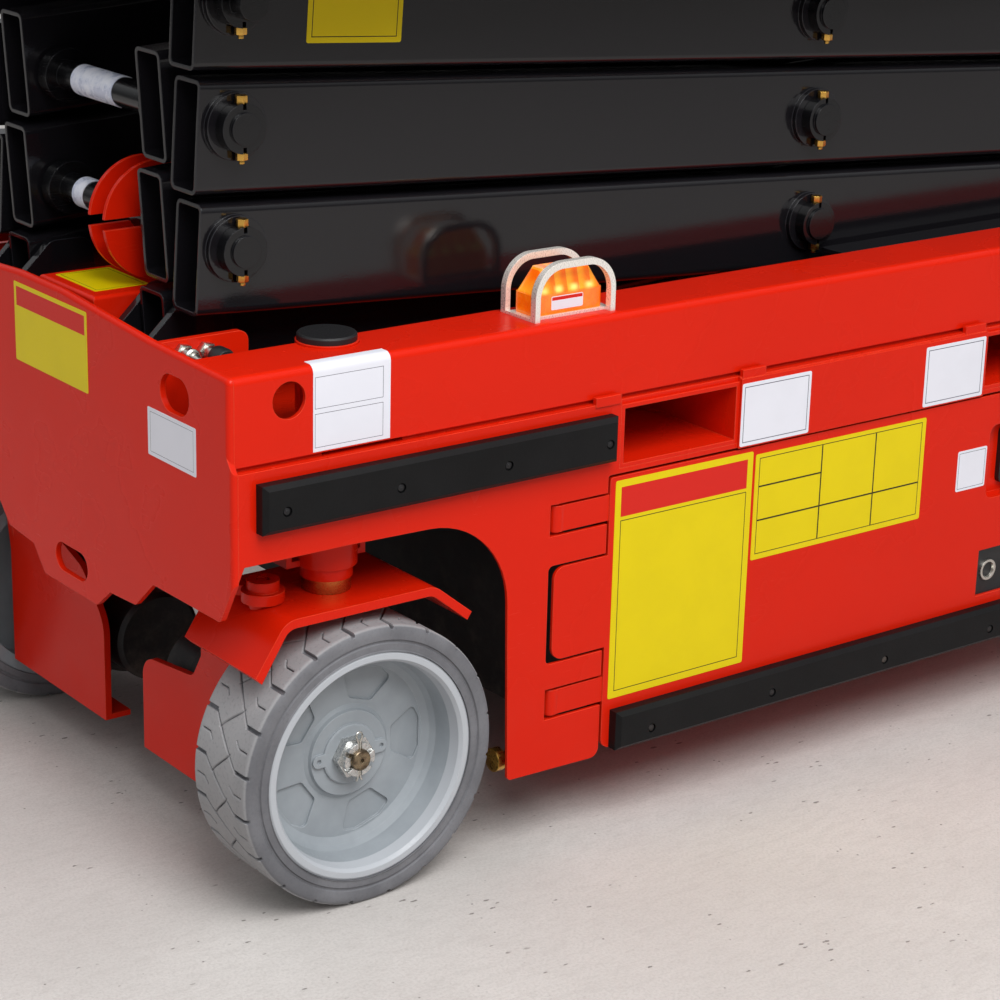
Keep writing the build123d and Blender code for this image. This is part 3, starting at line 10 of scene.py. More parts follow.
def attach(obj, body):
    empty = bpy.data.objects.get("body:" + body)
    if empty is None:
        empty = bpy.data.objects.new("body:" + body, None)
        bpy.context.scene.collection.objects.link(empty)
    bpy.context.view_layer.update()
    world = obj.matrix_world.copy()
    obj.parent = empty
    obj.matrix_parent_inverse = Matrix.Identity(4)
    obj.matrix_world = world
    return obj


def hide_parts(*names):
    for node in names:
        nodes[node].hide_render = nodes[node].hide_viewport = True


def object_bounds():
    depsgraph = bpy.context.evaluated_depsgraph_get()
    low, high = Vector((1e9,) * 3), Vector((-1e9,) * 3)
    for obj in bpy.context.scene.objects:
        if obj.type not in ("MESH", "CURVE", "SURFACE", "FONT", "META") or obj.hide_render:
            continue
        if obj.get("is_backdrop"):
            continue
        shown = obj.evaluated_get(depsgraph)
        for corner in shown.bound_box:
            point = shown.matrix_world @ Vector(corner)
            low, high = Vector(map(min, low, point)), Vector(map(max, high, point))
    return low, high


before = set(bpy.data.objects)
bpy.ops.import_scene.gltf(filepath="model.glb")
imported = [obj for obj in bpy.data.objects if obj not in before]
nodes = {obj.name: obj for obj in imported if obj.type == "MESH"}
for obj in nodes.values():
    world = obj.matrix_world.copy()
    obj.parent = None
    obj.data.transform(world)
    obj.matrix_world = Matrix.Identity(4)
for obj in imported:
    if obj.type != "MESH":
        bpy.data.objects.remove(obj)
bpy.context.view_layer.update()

# ---- Viewpoint: a close look at the front left corner from a little above the rails,
# with a long lens, so that the wheel, the folded arms and the near side fill the picture.
SENSOR_WIDTH, PICTURE_WIDTH, FOCAL_PIXELS = 36.0, 1000.0, 2603.254
eye = Vector((2.73038, 2.99743, 1.58243))
yaw, pitch, roll = -2.223669, -0.324537, 0.025501
ahead = Vector((math.cos(pitch) * math.cos(yaw), math.cos(pitch) * math.sin(yaw), math.sin(pitch)))
right = ahead.cross(Vector((0, 0, 1))).normalized()
above = right.cross(ahead)
tilted_right = right * math.cos(roll) + above * math.sin(roll)
tilted_above = above * math.cos(roll) - right * math.sin(roll)
view_data = bpy.data.cameras.new("corner_view")
view_data.sensor_width = SENSOR_WIDTH
view_data.lens = FOCAL_PIXELS * SENSOR_WIDTH / PICTURE_WIDTH
view_data.clip_start, view_data.clip_end = 0.05, 60.0
view_camera = bpy.data.objects.new("corner_view", view_data)
turn = Matrix((tilted_right, tilted_above, -ahead)).transposed()
view_camera.matrix_world = Matrix.Translation(eye) @ turn.to_4x4()
bpy.context.scene.collection.objects.link(view_camera)
bpy.context.scene.camera = view_camera
bpy.context.scene.view_settings.view_transform = "Standard"


# ---- Yard floor: pale trowelled concrete with fine grit, blotches and a few dark specks.
# Its material is also where the shader tools are first needed.
class Signal:
    """The output of one shader node; Python operators on it add Math nodes."""

    def __init__(self, finish, socket):
        self.finish, self.socket = finish, socket

    def maths(self, operation, *others):
        return self.finish.node("ShaderNodeMath", {"operation": operation}, dict(enumerate((self, *others))))

    def __add__(self, other):
        return self.maths("ADD", other)

    def __sub__(self, other):
        return self.maths("SUBTRACT", other)

    def __rsub__(self, other):
        return self.finish.node("ShaderNodeMath", {"operation": "SUBTRACT"}, {0: other, 1: self})

    def __mul__(self, other):
        return self.maths("MULTIPLY", other)

    def __truediv__(self, other):
        return self.maths("DIVIDE", other)

    def __gt__(self, other):
        return self.maths("GREATER_THAN", other)

    def __lt__(self, other):
        return self.maths("LESS_THAN", other)

    __radd__, __rmul__ = __add__, __mul__

    def absolute(self):
        return self.maths("ABSOLUTE")

    def power(self, exponent):
        return self.maths("POWER", exponent)

    def smaller(self, other):
        return self.maths("MINIMUM", other)

    def wrapped(self):
        return self.maths("FRACT")

    def ramped(self, low, high, out_low=0.0, out_high=1.0):
        """Smooth step from low to high."""
        return self.finish.node("ShaderNodeMapRange", {"interpolation_type": "SMOOTHSTEP"},
                                {"Value": self, "From Min": low, "From Max": high, "To Min": out_low,
                                 "To Max": out_high})


class Finish:
    """A material being built; every node comes from node()."""

    def __init__(self, name):
        self.material = bpy.data.materials.new(name)
        self.material.use_nodes = True
        self.tree = self.material.node_tree
        self.tree.nodes.clear()
        self.place = None

    def node(self, kind, settings=None, sockets=None, output=0):
        made = self.tree.nodes.new(kind)
        for key, value in (settings or {}).items():
            setattr(made, key, value)
        for key, value in (sockets or {}).items():
            if isinstance(value, Signal):
                self.tree.links.new(value.socket, made.inputs[key])
            else:
                made.inputs[key].default_value = value
        return None if output is None else Signal(self, made.outputs[output])

    def position(self):
        if self.place is None:
            self.place = self.node("ShaderNodeTexCoord", output="Object")
        return self.place

    def axis(self, name):
        return self.node("ShaderNodeSeparateXYZ", sockets={0: self.position()}, output=name)

    def noise(self, scale, detail=2.0, roughness=0.5, source=None, distortion=0.0):
        return self.node("ShaderNodeTexNoise", sockets={
            "Vector": source or self.position(), "Scale": scale, "Detail": detail, "Roughness": roughness,
            "Distortion": distortion})

    def speckle(self, scale, source=None):
        return self.node("ShaderNodeTexVoronoi", sockets={"Vector": source or self.position(), "Scale": scale})

    def stretched(self, sx, sy, sz):
        return self.node("ShaderNodeMapping", sockets={"Vector": self.position(), "Scale": (sx, sy, sz)})

    def blend(self, factor, first, second):
        """The colour first where factor is 0 and second where it is 1."""
        return self.node("ShaderNodeMix", {"data_type": "RGBA"}, {0: factor, 6: first, 7: second}, output=2)

    def bump(self, height, distance, strength=1.0, normal=None):
        sockets = {"Height": height, "Distance": distance, "Strength": strength}
        if normal is not None:
            sockets["Normal"] = normal
        return self.node("ShaderNodeBump", sockets=sockets)

    def rounding(self, radius):
        return self.node("ShaderNodeBevel", {"samples": 4}, {"Radius": radius})

    def worn_edges(self, rounded):
        """Where the rounded normal leaves the true one: 1 on sharp edges and 0 on flats."""
        true = self.node("ShaderNodeNewGeometry", output="Normal")
        same = self.node("ShaderNodeVectorMath", {"operation": "DOT_PRODUCT"}, {0: rounded, 1: true}, output="Value")
        return (1.0 - same).ramped(0.01, 0.22)

    def close(self, **sockets):
        """The finished material; base_color=... sets the shader's Base Color, and so on."""
        named = {key.replace("_", " ").title().replace("Ior", "IOR"): value for key, value in sockets.items()}
        shader = self.node("ShaderNodeBsdfPrincipled", sockets=named, output="BSDF")
        self.node("ShaderNodeOutputMaterial", sockets={"Surface": shader}, output=None)
        return self.material


def shaded(colour, factor):
    """A colour made darker or lighter by one factor."""
    return tuple(c * factor for c in colour[:3]) + (1.0,)


def rgb(red, green, blue):
    """A screen colour, 0 to 255, as Blender's linear colour."""
    def linear(c):
        c /= 255.0
        return c / 12.92 if c <= 0.04045 else ((c + 0.055) / 1.055) ** 2.4
    return (linear(red), linear(green), linear(blue), 1.0)


def concrete():
    f = Finish("yard_concrete")
    cloud = f.noise(1.7, 5.0, 0.6).ramped(0.35, 0.7)
    grain = f.noise(230.0, 3.0, 0.75)
    fleck = f.speckle(70.0).ramped(0.06, 0.16, 1.0, 0.0)
    sparse = f.noise(17.0, 2.0).ramped(0.58, 0.64)
    bent = f.noise(60.0, 2.0, 0.6, distortion=1.5)
    chip = (f.speckle(24.0, f.stretched(1.0, 2.3, 1.0)) + bent * 0.3).ramped(0.21, 0.27, 1.0, 0.0)
    rare = f.noise(5.0, 3.0, 0.6).ramped(0.5, 0.56)
    trowel = f.noise(26.0, 5.0, 0.7, f.stretched(1.0, 2.6, 1.0)).ramped(0.42, 0.72)
    tone = f.blend(cloud, rgb(193, 188, 184), rgb(205, 200, 196))
    tone = f.blend(trowel * 0.35, tone, rgb(176, 170, 166))
    tone = f.blend(grain.ramped(0.38, 0.75) * 0.4, tone, rgb(156, 150, 146))
    tone = f.blend(fleck * sparse * 0.8, tone, rgb(96, 90, 86))
    tone = f.blend(chip * rare * 0.75, tone, rgb(104, 98, 94))
    height = grain * 0.6 + f.noise(34.0, 4.0) * 0.8 - chip * rare * 0.8
    return f.close(base_color=tone, roughness=(1.0 - grain * 0.1).ramped(0.85, 1.0, 0.72, 0.9),
                   normal=f.bump(height, 0.0012, 0.6))


def surface(name, grid, around=False, closed_rows=False, caps=False):
    """A mesh from a grid of points (rows, columns, 3): each four neighbours make a face. around joins the last
    column to the first, closed_rows the last row to the first, and caps fills the first and last rows."""
    rows, columns = grid.shape[:2]
    index = np.arange(rows * columns).reshape(rows, columns)
    down = np.roll(index, -1, axis=0) if closed_rows else index[1:]
    up = index if closed_rows else index[:-1]
    if around:
        quads = np.stack((up, np.roll(up, -1, 1), np.roll(down, -1, 1), down), -1).reshape(-1, 4)
    else:
        quads = np.stack((up[:, :-1], up[:, 1:], down[:, 1:], down[:, :-1]), -1).reshape(-1, 4)
    faces = quads.tolist()
    if caps:
        faces += [index[0].tolist(), index[-1][::-1].tolist()]
    mesh = bpy.data.meshes.new(name)
    mesh.from_pydata(grid.reshape(-1, 3).tolist(), [], faces)
    settle(mesh)
    piece = bpy.data.objects.new(name, mesh)
    bpy.context.scene.collection.objects.link(piece)
    return piece


SMOOTH_LIMIT, OPEN_EDGE = math.radians(35.0), 4.0


def settle(mesh):
    """Merge doubles, turn faces outwards and shade smooth except over sharp edges."""
    work = bmesh.new()
    work.from_mesh(mesh)
    bmesh.ops.remove_doubles(work, verts=work.verts, dist=1e-6)
    bmesh.ops.recalc_face_normals(work, faces=work.faces)
    for edge in work.edges:
        edge.smooth = len(edge.link_faces) == 2 and edge.calc_face_angle(OPEN_EDGE) < SMOOTH_LIMIT
    for face in work.faces:
        face.smooth = True
    work.to_mesh(mesh)
    work.free()


def joined(name, pieces):
    """One object from several, their meshes put end to end."""
    work = bmesh.new()
    for piece in pieces:
        work.from_mesh(piece.data)
        bpy.data.objects.remove(piece)
    mesh = bpy.data.meshes.new(name)
    work.to_mesh(mesh)
    work.free()
    whole = bpy.data.objects.new(name, mesh)
    bpy.context.scene.collection.objects.link(whole)
    return whole


def dress(piece, body, finish):
    """Give a new piece its finish and let it move with its body."""
    piece.data.materials.clear()
    piece.data.materials.append(finish)
    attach(piece, body)
    return piece


def repaint(finish, *names):
    """A CAD node keeps its shape and gets a finish."""
    for name in names:
        nodes[name].data.materials.clear()
        nodes[name].data.materials.append(finish)


YARD_HALF = 12.0
span = np.linspace(-YARD_HALF, YARD_HALF, 3)
yard = surface("yard_floor", np.stack(np.meshgrid(span, span[::-1], [0.0]), -1)[:, :, 0])
yard.data.materials.append(concrete())
yard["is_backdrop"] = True

# ---- Daylight: an open overcast sky as a pale dome, dimmer towards the horizon, and one broad soft
# panel high over the machine's front left, which gives the wheel and rails their soft highlights.
sky = bpy.data.worlds.new("overcast")
bpy.context.scene.world = sky
sky.use_nodes = True
sky.node_tree.nodes.clear()
heading = sky.node_tree.nodes.new("ShaderNodeTexCoord")
split = sky.node_tree.nodes.new("ShaderNodeSeparateXYZ")
height = sky.node_tree.nodes.new("ShaderNodeMapRange")
for socket, value in (("From Min", 0.0), ("From Max", 0.75), ("To Min", 0.13), ("To Max", 0.86)):
    height.inputs[socket].default_value = value
dome = sky.node_tree.nodes.new("ShaderNodeBackground")
dome.inputs["Color"].default_value = (0.96, 0.98, 1.0, 1.0)
pale = sky.node_tree.nodes.new("ShaderNodeBackground")
pale.inputs["Color"].default_value = (1.0, 1.0, 1.0, 1.0)
pale.inputs["Strength"].default_value = 1.0
rays = sky.node_tree.nodes.new("ShaderNodeLightPath")
either = sky.node_tree.nodes.new("ShaderNodeMixShader")
sky_end = sky.node_tree.nodes.new("ShaderNodeOutputWorld")
for source, target in (
    (heading.outputs["Generated"], split.inputs[0]), (split.outputs["Z"], height.inputs["Value"]),
    (height.outputs[0], dome.inputs["Strength"]), (rays.outputs["Is Camera Ray"], either.inputs[0]),
    (dome.outputs[0], either.inputs[1]), (pale.outputs[0], either.inputs[2]),
    (either.outputs[0], sky_end.inputs["Surface"]),
):
    sky.node_tree.links.new(source, target)


PANEL_PLACE, PANEL_AIM, PANEL_SIZE, PANEL_WATTS = Vector((1.5, 3.9, 5.0)), Vector((0.5, 0.0, 0.5)), 3.6, 330.0
panel = bpy.data.lights.new("sky_left", "AREA")
panel.shape, panel.size, panel.energy = "SQUARE", PANEL_SIZE, PANEL_WATTS
lamp = bpy.data.objects.new("sky_left", panel)
facing = (PANEL_AIM - PANEL_PLACE).to_track_quat("-Z", "Y").to_matrix().to_4x4()
lamp.matrix_world = Matrix.Translation(PANEL_PLACE) @ facing
bpy.context.scene.collection.objects.link(lamp)

# ---- Painted plates: folded and flame-cut steel under a thick glossy red powder coat, slightly
# orange-peeled, lighter on the edges from worn paint and a painted highlight, with dust low down and faint handling
# marks.
def paint(name, colour, edge_wear_and_highlight_colour, rough, dust, coat, edge=0.0016, specular=0.5, marks=0.08, worn=0.55):
    """Paint with a mottled ground, edges of the given width lightened as wear and as a painted highlight, dust below
    knee height and fine scratches.
    """
    f = Finish(name)
    rounded = f.rounding(edge)
    wear = f.worn_edges(rounded)
    cloud = f.noise(2.6, 4.0, 0.55)
    grime = f.noise(18.0, 6.0, 0.7)
    low = f.axis("Z").ramped(0.02, 0.42, 1.0, 0.0)
    shade = f.blend(cloud.ramped(0.3, 0.75) * 0.16, colour, (colour[0] * 0.72, colour[1] * 0.6, colour[2] * 0.6, 1.0))
    # The edge colour stands partly for worn paint and partly for a painted highlight on the rounded edges.
    shade = f.blend(wear * grime.ramped(0.25, 0.6, 0.55, 1.0) * worn, shade, edge_wear_and_highlight_colour)
    shade = f.blend(low * grime.ramped(0.42, 0.8) * dust, shade, rgb(168, 150, 134))
    scratch = f.noise(60.0, 2.0, 0.5, f.stretched(0.6, 0.6, 7.0)).ramped(0.64, 0.7)
    sheen = f.noise(7.0, 3.0).ramped(0.3, 0.7, rough * 0.8, rough * 1.25) + scratch * marks + low * 0.12
    relief = f.noise(420.0, 1.0) + f.noise(90.0, 1.0) * 0.6
    return f.close(base_color=shade, roughness=sheen, normal=f.bump(relief, 0.00012, 0.7, rounded),
                   coat_weight=coat, coat_roughness=0.08, specular_ior_level=specular)


# The red paint's pale edge colour is partly a painted highlight along the rounded edges.
red = paint("red_powder_coat", rgb(209, 30, 6), rgb(236, 92, 60), 0.26, dust=0.02, coat=0.03, specular=0.13,
            marks=0.02, worn=0.7)
repaint(red, "chassis_rails", "front_plate", "rear_plate", "side_sheets", "fork_pockets", "deck_plate",
        "deck_box", "door_left", "door_right", "hose_discs", "knuckle_left", "knuckle_right", "front_axle_beam",
        "hinge_pins", "tie_rod")

# ---- Arms and frame members: rectangular steel tube under a deep gloss black, which mirrors the
# red rails and the lamp; the frame under the deck is a duller black.
# The pale edge colours of the black paints are partly a painted highlight along the tube edges.
black = paint("arm_black", rgb(20, 19, 22), rgb(66, 66, 72), 0.10, dust=0.0, coat=0.10, edge=0.002,
              specular=0.38, marks=0.03)
frame_black = paint("frame_black", rgb(22, 21, 23), rgb(56, 56, 60), 0.42, dust=0.25, coat=0.0, specular=0.35)
repaint(black, *[f"{side}_arm_{level}" for side in ("inner", "outer") for level in (1, 2, 3)],
        "pivot_brackets", "lift_barrel", "roller_channels", "platform_frame")
repaint(frame_black, "frame_plates", "tunnel", "bulkheads", "rear_axle", "drive_motor_left", "drive_motor_right",
        "ladder")

# ---- Pins, shafts and small metal: turned steel under thin black paint, plated rod, bronze bushes.
def bare_metal(name, colour, rough, metal=1.0, brush=(1.0, 1.0, 1.0), marks=0.25):
    """Bare metal with a fine grain, drawn out along the axes that have the smaller brush numbers, and dull stains."""
    f = Finish(name)
    rounded = f.rounding(0.0008)
    fine = f.noise(260.0, 2.0, 0.5, f.stretched(*brush))
    stain = f.noise(14.0, 5.0, 0.65).ramped(0.4, 0.75)
    tone = f.blend(stain * marks, colour, shaded(colour, 0.55))
    return f.close(base_color=tone, metallic=metal, roughness=fine.ramped(0.2, 0.8, rough * 0.75, rough * 1.3),
                   normal=f.bump(fine, 0.00006, 0.5, rounded))


pin_black = paint("pin_black", rgb(13, 13, 15), rgb(58, 58, 64), 0.2, dust=0.0, coat=0.12, edge=0.0012,
                  specular=0.35)
plated = bare_metal("plated_rod", rgb(205, 206, 208), 0.08, brush=(1.0, 9.0, 1.0), marks=0.08)
bronze = bare_metal("bush_bronze", rgb(190, 132, 70), 0.3, brush=(1.0, 1.0, 8.0))
zinc = bare_metal("bright_zinc", rgb(205, 202, 194), 0.28)
brass = bare_metal("yellow_zinc", rgb(214, 168, 82), 0.3)
satin = bare_metal("satin_bar", rgb(240, 234, 226), 0.3, 0.45, brush=(7.0, 1.0, 1.0), marks=0.03)
repaint(pin_black, "arm_pins_1", "arm_pins_2", "arm_pins_3", "top_rollers")
repaint(plated, "lift_rod")
repaint(bronze, "kingpin_bushes")

# ---- Wheels: grey non-marking tyres pressed on deep dished cast rims. S-shaped grooves run across
# the tread from edge to edge, with thin crossing cuts at the middle and a bent sipe between two grooves.
TYRE_RADIUS, TYRE_WIDTH, TYRE_FACE_Y = 0.1905, 0.127, 0.48
TREAD_PITCHES, TREAD_DEPTH, SHOULDER = 20, 0.0052, 0.0072
PITCH_STEPS, TREAD_COLUMNS, WALL_ROWS = 45, 75, 10
DISC_Y, FRONT_AXLE_X, REAR_AXLE_X = 0.418, 1.0, -0.87
WHEELS = (("front_left", FRONT_AXLE_X, 1), ("front_right", FRONT_AXLE_X, -1),
          ("rear_left", REAR_AXLE_X, 1), ("rear_right", REAR_AXLE_X, -1))


def from_axle(f):
    """Distance from the line of the nearer axle."""
    x, z = f.axis("X"), f.axis("Z") - TYRE_RADIUS
    nearer = (x - FRONT_AXLE_X).absolute().smaller((x - REAR_AXLE_X).absolute())
    return (nearer * nearer + z * z).power(0.5)


def rubber(name, light, dark, rough, worn=None, specular=0.35):
    """Rubber clouded between two tones. worn is two distances from the axle's line, between which contact with the
    ground has paled it, and the paler colour."""
    f = Finish(name)
    cloud = f.noise(9.0, 5.0, 0.65)
    grit = f.noise(240.0, 3.0, 0.6)
    tone = f.blend(cloud.ramped(0.3, 0.72), dark, light)
    if worn:
        inner, outer, pale_tone = worn
        tone = f.blend(from_axle(f).ramped(inner, outer) * (0.55 + cloud * 0.4), tone, pale_tone)
    tone = f.blend(grit.ramped(0.5, 0.8) * 0.3, tone, shaded(dark, 0.6))
    return f.close(base_color=tone, roughness=grit.ramped(0.2, 0.8, rough * 0.9, rough * 1.1),
                   normal=f.bump(grit + cloud * 0.4, 0.0004, 0.5), specular_ior_level=specular)


def tread_cut(turns, across):
    """Depth of the tread, 0 to 1, at turns (in pitches) and across (-1 to 1): each main groove is straight and wide at
    both edges and slants thinly by one pitch between them; short thin cuts cross it the other way near the middle,
    and a thin bent cut lies halfway between two grooves. Each is a smooth step of the distance to its line."""
    def cut(place, half_width):
        off = np.abs(place - np.round(place))
        return np.clip(1 + (half_width - off) / 0.012, 0, 1)

    straight_from = 0.62
    inward = np.abs(across)
    at_edge = inward > straight_from
    phase = turns + 0.5 * np.clip(across / straight_from, -1, 1)
    deep = np.where(at_edge, 1.0, 0.8) * cut(phase, np.where(at_edge, 0.042, 0.017))
    crossing = 0.7 * cut(turns - 0.5 - 0.867 * across, 0.015) * (inward < 0.33)
    bent = 0.7 * cut(phase + 0.5, 0.012) * (inward > 0.44) * (inward < 0.94)
    return np.maximum(np.maximum(deep, crossing), bent)


def tyre(name, x, side):
    """A ring: the section (wall, shoulder, tread, shoulder, wall, bore) is carried round the wheel's axis."""
    half = TYRE_WIDTH / 2
    tread = np.linspace(-1, 1, TREAD_COLUMNS)
    wall_y = np.array([0.0, 1.5, 1.5, 3.6, 3.6, 1.2, 0.4, 0.9, 2.4, 5.0]) / 1000
    wall_r = np.array([156.0, 157.5, 166.0, 167.4, 170.0, 171.4, 178.0, 184.6, 188.2, 190.1]) / 1000
    y = np.concatenate((-half + wall_y, tread * (half - SHOULDER), (half - wall_y)[::-1]))
    r = np.concatenate((wall_r, np.full(TREAD_COLUMNS, TYRE_RADIUS), wall_r[::-1]))
    across = np.clip(y / (half - SHOULDER), -1.05, 1.05)
    angle = np.linspace(0, 2 * np.pi, TREAD_PITCHES * PITCH_STEPS, endpoint=False)
    turns, cross = np.meshgrid(angle / (2 * np.pi) * TREAD_PITCHES, across, indexing="ij")
    uncut = np.zeros(WALL_ROWS - 2)
    touched = np.concatenate((uncut, [0.5, 1.0], np.ones(TREAD_COLUMNS), [1.0, 0.5], uncut))
    radius = r[None] - TREAD_DEPTH * tread_cut(turns, cross) * touched[None]
    place = np.stack((x + radius * np.cos(angle)[:, None],
                      np.broadcast_to(side * (TYRE_FACE_Y - half + y)[None], radius.shape),
                      TYRE_RADIUS + radius * np.sin(angle)[:, None]), -1)
    return surface(name, place, around=True, closed_rows=True)


def cast_rim():
    """Grey paint with three places told apart by the distance from the nearer axle's line and by the height over the
    disc: the zinc nut, the brown steel end of the shaft inside it, and the paler turned lip outside."""
    nut_radius, shaft_radius, nut_height, lip_radius, lip_height = 0.0300, 0.0146, 0.0123, 0.138, 0.04
    f = Finish("rim_cast_grey")
    rounded = f.rounding(0.0014)
    radial, y = from_axle(f), f.axis("Y").absolute()
    proud = y > DISC_Y + nut_height
    nut, end = proud * (radial < nut_radius), proud * (radial < shaft_radius)
    lip = (radial > lip_radius) * (y > DISC_Y + lip_height)
    cloud, grain = f.noise(12.0, 4.0, 0.6), f.noise(300.0, 2.0, 0.6)
    tone = f.blend(cloud.ramped(0.3, 0.7), rgb(141, 147, 152), rgb(153, 159, 164))
    tone = f.blend(lip * 0.8, tone, rgb(182, 185, 190))
    tone = f.blend(f.worn_edges(rounded) * 0.5, tone, rgb(196, 202, 206))
    tone = f.blend(nut, tone, f.blend(grain.ramped(0.3, 0.7), rgb(180, 181, 180), rgb(214, 214, 211)))
    brown = f.blend(f.noise(130.0, 3.0).ramped(0.35, 0.65), rgb(84, 72, 58), rgb(140, 124, 100))
    tone = f.blend(end, tone, brown)
    return f.close(base_color=tone, metallic=nut * 0.85, roughness=grain.ramped(0.2, 0.8, 0.3, 0.46) - nut * 0.1,
                   normal=f.bump(grain * 0.5 + cloud * 0.2, 0.00012, 0.5, rounded), specular_ior_level=0.4)


tyre_grey = rubber("grey_tyre", rgb(120, 120, 124), rgb(98, 98, 102), 0.62, (0.1875, 0.1895, rgb(158, 157, 158)))
rim_grey = cast_rim()
for corner, axle_x, side in WHEELS:
    ring = tyre(f"tread_tyre_{corner}", axle_x, side)
    dress(ring, f"wheel_{corner}", tyre_grey)
    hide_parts(f"tyre_{corner}")
    repaint(rim_grey, f"rim_{corner}")


# ---- Split pins: bent zinc wire through the upright slot of each axle nut and the shaft's end, with
# the eye standing out above and the two legs spread a little below.
def turned(name, profile, centre, out, steps):
    """A solid of revolution about Y: profile rows (radius, height) carried round, height along out (+1 or -1)."""
    rows = np.array(profile, float)
    angle = np.linspace(0, 2 * np.pi, steps, endpoint=False)
    x = centre[0] + rows[:, :1] * np.cos(angle)
    z = centre[2] + rows[:, :1] * np.sin(angle)
    y = np.broadcast_to(centre[1] + out * rows[:, 1:], x.shape)
    return surface(name, np.stack((x, y, z), -1), around=True)


def bent_rod(name, path, radius, steps=10):
    """A round wire: circles of one radius square to a path of points, closed at both ends."""
    along = np.gradient(path, axis=0)
    along /= np.linalg.norm(along, axis=1)[:, None]
    seed = np.tile(np.array([0.31, 0.17, 0.93]), (len(path), 1))
    first = np.cross(along, seed)
    first /= np.linalg.norm(first, axis=1)[:, None]
    second = np.cross(along, first)
    angle = np.linspace(0, 2 * np.pi, steps, endpoint=False)
    ring = first[:, None] * np.cos(angle)[None, :, None] + second[:, None] * np.sin(angle)[None, :, None]
    return surface(name, path[:, None] + radius * ring, around=True, caps=True)


SPLIT_PIN_OUT, WIRE_RADIUS = 0.0316, 0.0015
leg = np.array([(-0.0042, -0.0300), (-0.0022, -0.0262), (-0.0016, -0.0220), (-0.0016, 0.0), (-0.0016, 0.0240),
                (-0.0038, 0.0290), (-0.0046, 0.0330), (-0.0034, 0.0366), (0.0, 0.0382)])
wire = np.concatenate((leg, leg[-2::-1] * (-1, 1)))
for corner, axle_x, side in WHEELS:
    out_y = np.full(len(wire), side * (DISC_Y + SPLIT_PIN_OUT))
    route = np.stack((axle_x + wire[:, 0], out_y, TYRE_RADIUS + wire[:, 1]), -1)
    pin = bent_rod(f"split_pin_{corner}", route, WIRE_RADIUS)
    dress(pin, f"wheel_{corner}", zinc)

# ---- Clamp rings on the pin ends: each black ring is pinched by a through bolt, its yellow zinc
# head above and nut below, as on every pivot of the outer arms.
PIN_FRONT_X, PIN_REAR_X, PIN_MID_X = 1.086, -0.86007, 0.11296
PIN_BASE_Z, ARM_PITCH, CLAMP_Y = 0.692, 0.152, 0.3125


def upright_hex(name, x, y, low, high, across):
    """A six-sided head standing along Z between two heights, with a chamfered end."""
    angle = np.linspace(0, 2 * np.pi, 6, endpoint=False) + 0.3
    rows = [(0.0, low), (across * 0.97, low), (across, low + 0.0006), (across, high - 0.0006),
            (across * 0.9, high), (0.0, high)]
    grid = np.array([[(x + q * math.cos(a), y + q * math.sin(a), z) for a in angle] for q, z in rows])
    return surface(name, grid, around=True)


for level in (1, 2, 3):
    bolts = []
    spots = [(PIN_FRONT_X, PIN_BASE_Z + ARM_PITCH * level), (PIN_MID_X, PIN_BASE_Z + ARM_PITCH * (level - 0.5))]
    if level > 1:
        spots.append((PIN_REAR_X, PIN_BASE_Z + ARM_PITCH * (level - 1)))
    for x, z in spots:
        for side in (1, -1):
            for part, low, high, across in (("bolt_head", 0.0300, 0.0402, 0.0078),
                                            ("bolt_nut", -0.0392, -0.0300, 0.0078),
                                            ("bolt_end", -0.0440, -0.0390, 0.0036)):
                bolts.append(upright_hex(part, x, side * CLAMP_Y, z + low, z + high, across))
    dress(joined(f"clamp_bolts_{level}", bolts), f"outer_{level}", brass)

# ---- Rubber bars: extruded black bumper strip held by sunk screws.
bar_rubber = rubber("black_rubber", rgb(17, 17, 18), rgb(10, 10, 11), 0.5, specular=0.18)
repaint(bar_rubber, "upper_bars", "door_bar_left", "door_bar_right")


BAR_FACE_Y, DOOR_SCREW_Z, UPPER_SCREW_Z = 0.5, 0.142, 0.568


def sunk_screw(x, z, out):
    """A domed head with a rim, in the round place cut 3 mm deep in the bar."""
    return turned("screw", [(0, -0.0008), (0.0015, -0.0008), (0.0017, -0.0012), (0.0042, -0.0013), (0.0053, -0.0024),
                            (0.0056, -0.0034), (0, -0.0034)], (x, out * BAR_FACE_Y, z), out, 20)


DOOR_SCREWS = [(x, DOOR_SCREW_Z) for x in np.linspace(-0.356, 0.546, 5)]
UPPER_SCREWS = [(x, UPPER_SCREW_Z) for x in (*np.linspace(0.640, 1.140, 4), *np.linspace(-1.020, -0.510, 4))]
for body, sides, spots in (("chassis", (1, -1), UPPER_SCREWS), ("door_left_body", (1,), DOOR_SCREWS),
                           ("door_right_body", (-1,), DOOR_SCREWS)):
    heads = [sunk_screw(x, z, side) for x, z in spots for side in sides]
    dress(joined(f"bar_screws_{body}", heads), body, frame_black)

# ---- Warning lamp: an amber moulded lens on a thin satin base, under two bent flat bars. The lens is
# ribbed above its shoulder, where a row of small lamps shines through, and its ribs are painted a lighter yellow as a
# highlight.
SHOULDER_CLIMB = 0.44
repaint(satin, "beacon_base")
amber = Finish("amber_lens")
lens_heights = [corner.co.z for corner in nodes["beacon_lens"].data.vertices]
lens_low, lens_high = min(lens_heights), max(lens_heights)
climb = (amber.axis("Z") - lens_low) / (lens_high - lens_low)
ribs_and_painted_highlight = (amber.axis("X") * 52.0).wrapped().ramped(0.2, 0.8) * climb.ramped(SHOULDER_CLIMB, SHOULDER_CLIMB + 0.06)
lit = ((amber.axis("X") * 40.0).wrapped() - 0.5).absolute().ramped(0.0, 0.42, 1.0, 0.0)
lit = lit * (climb - (SHOULDER_CLIMB + 0.1)).absolute().ramped(0.0, 0.12, 1.0, 0.0)
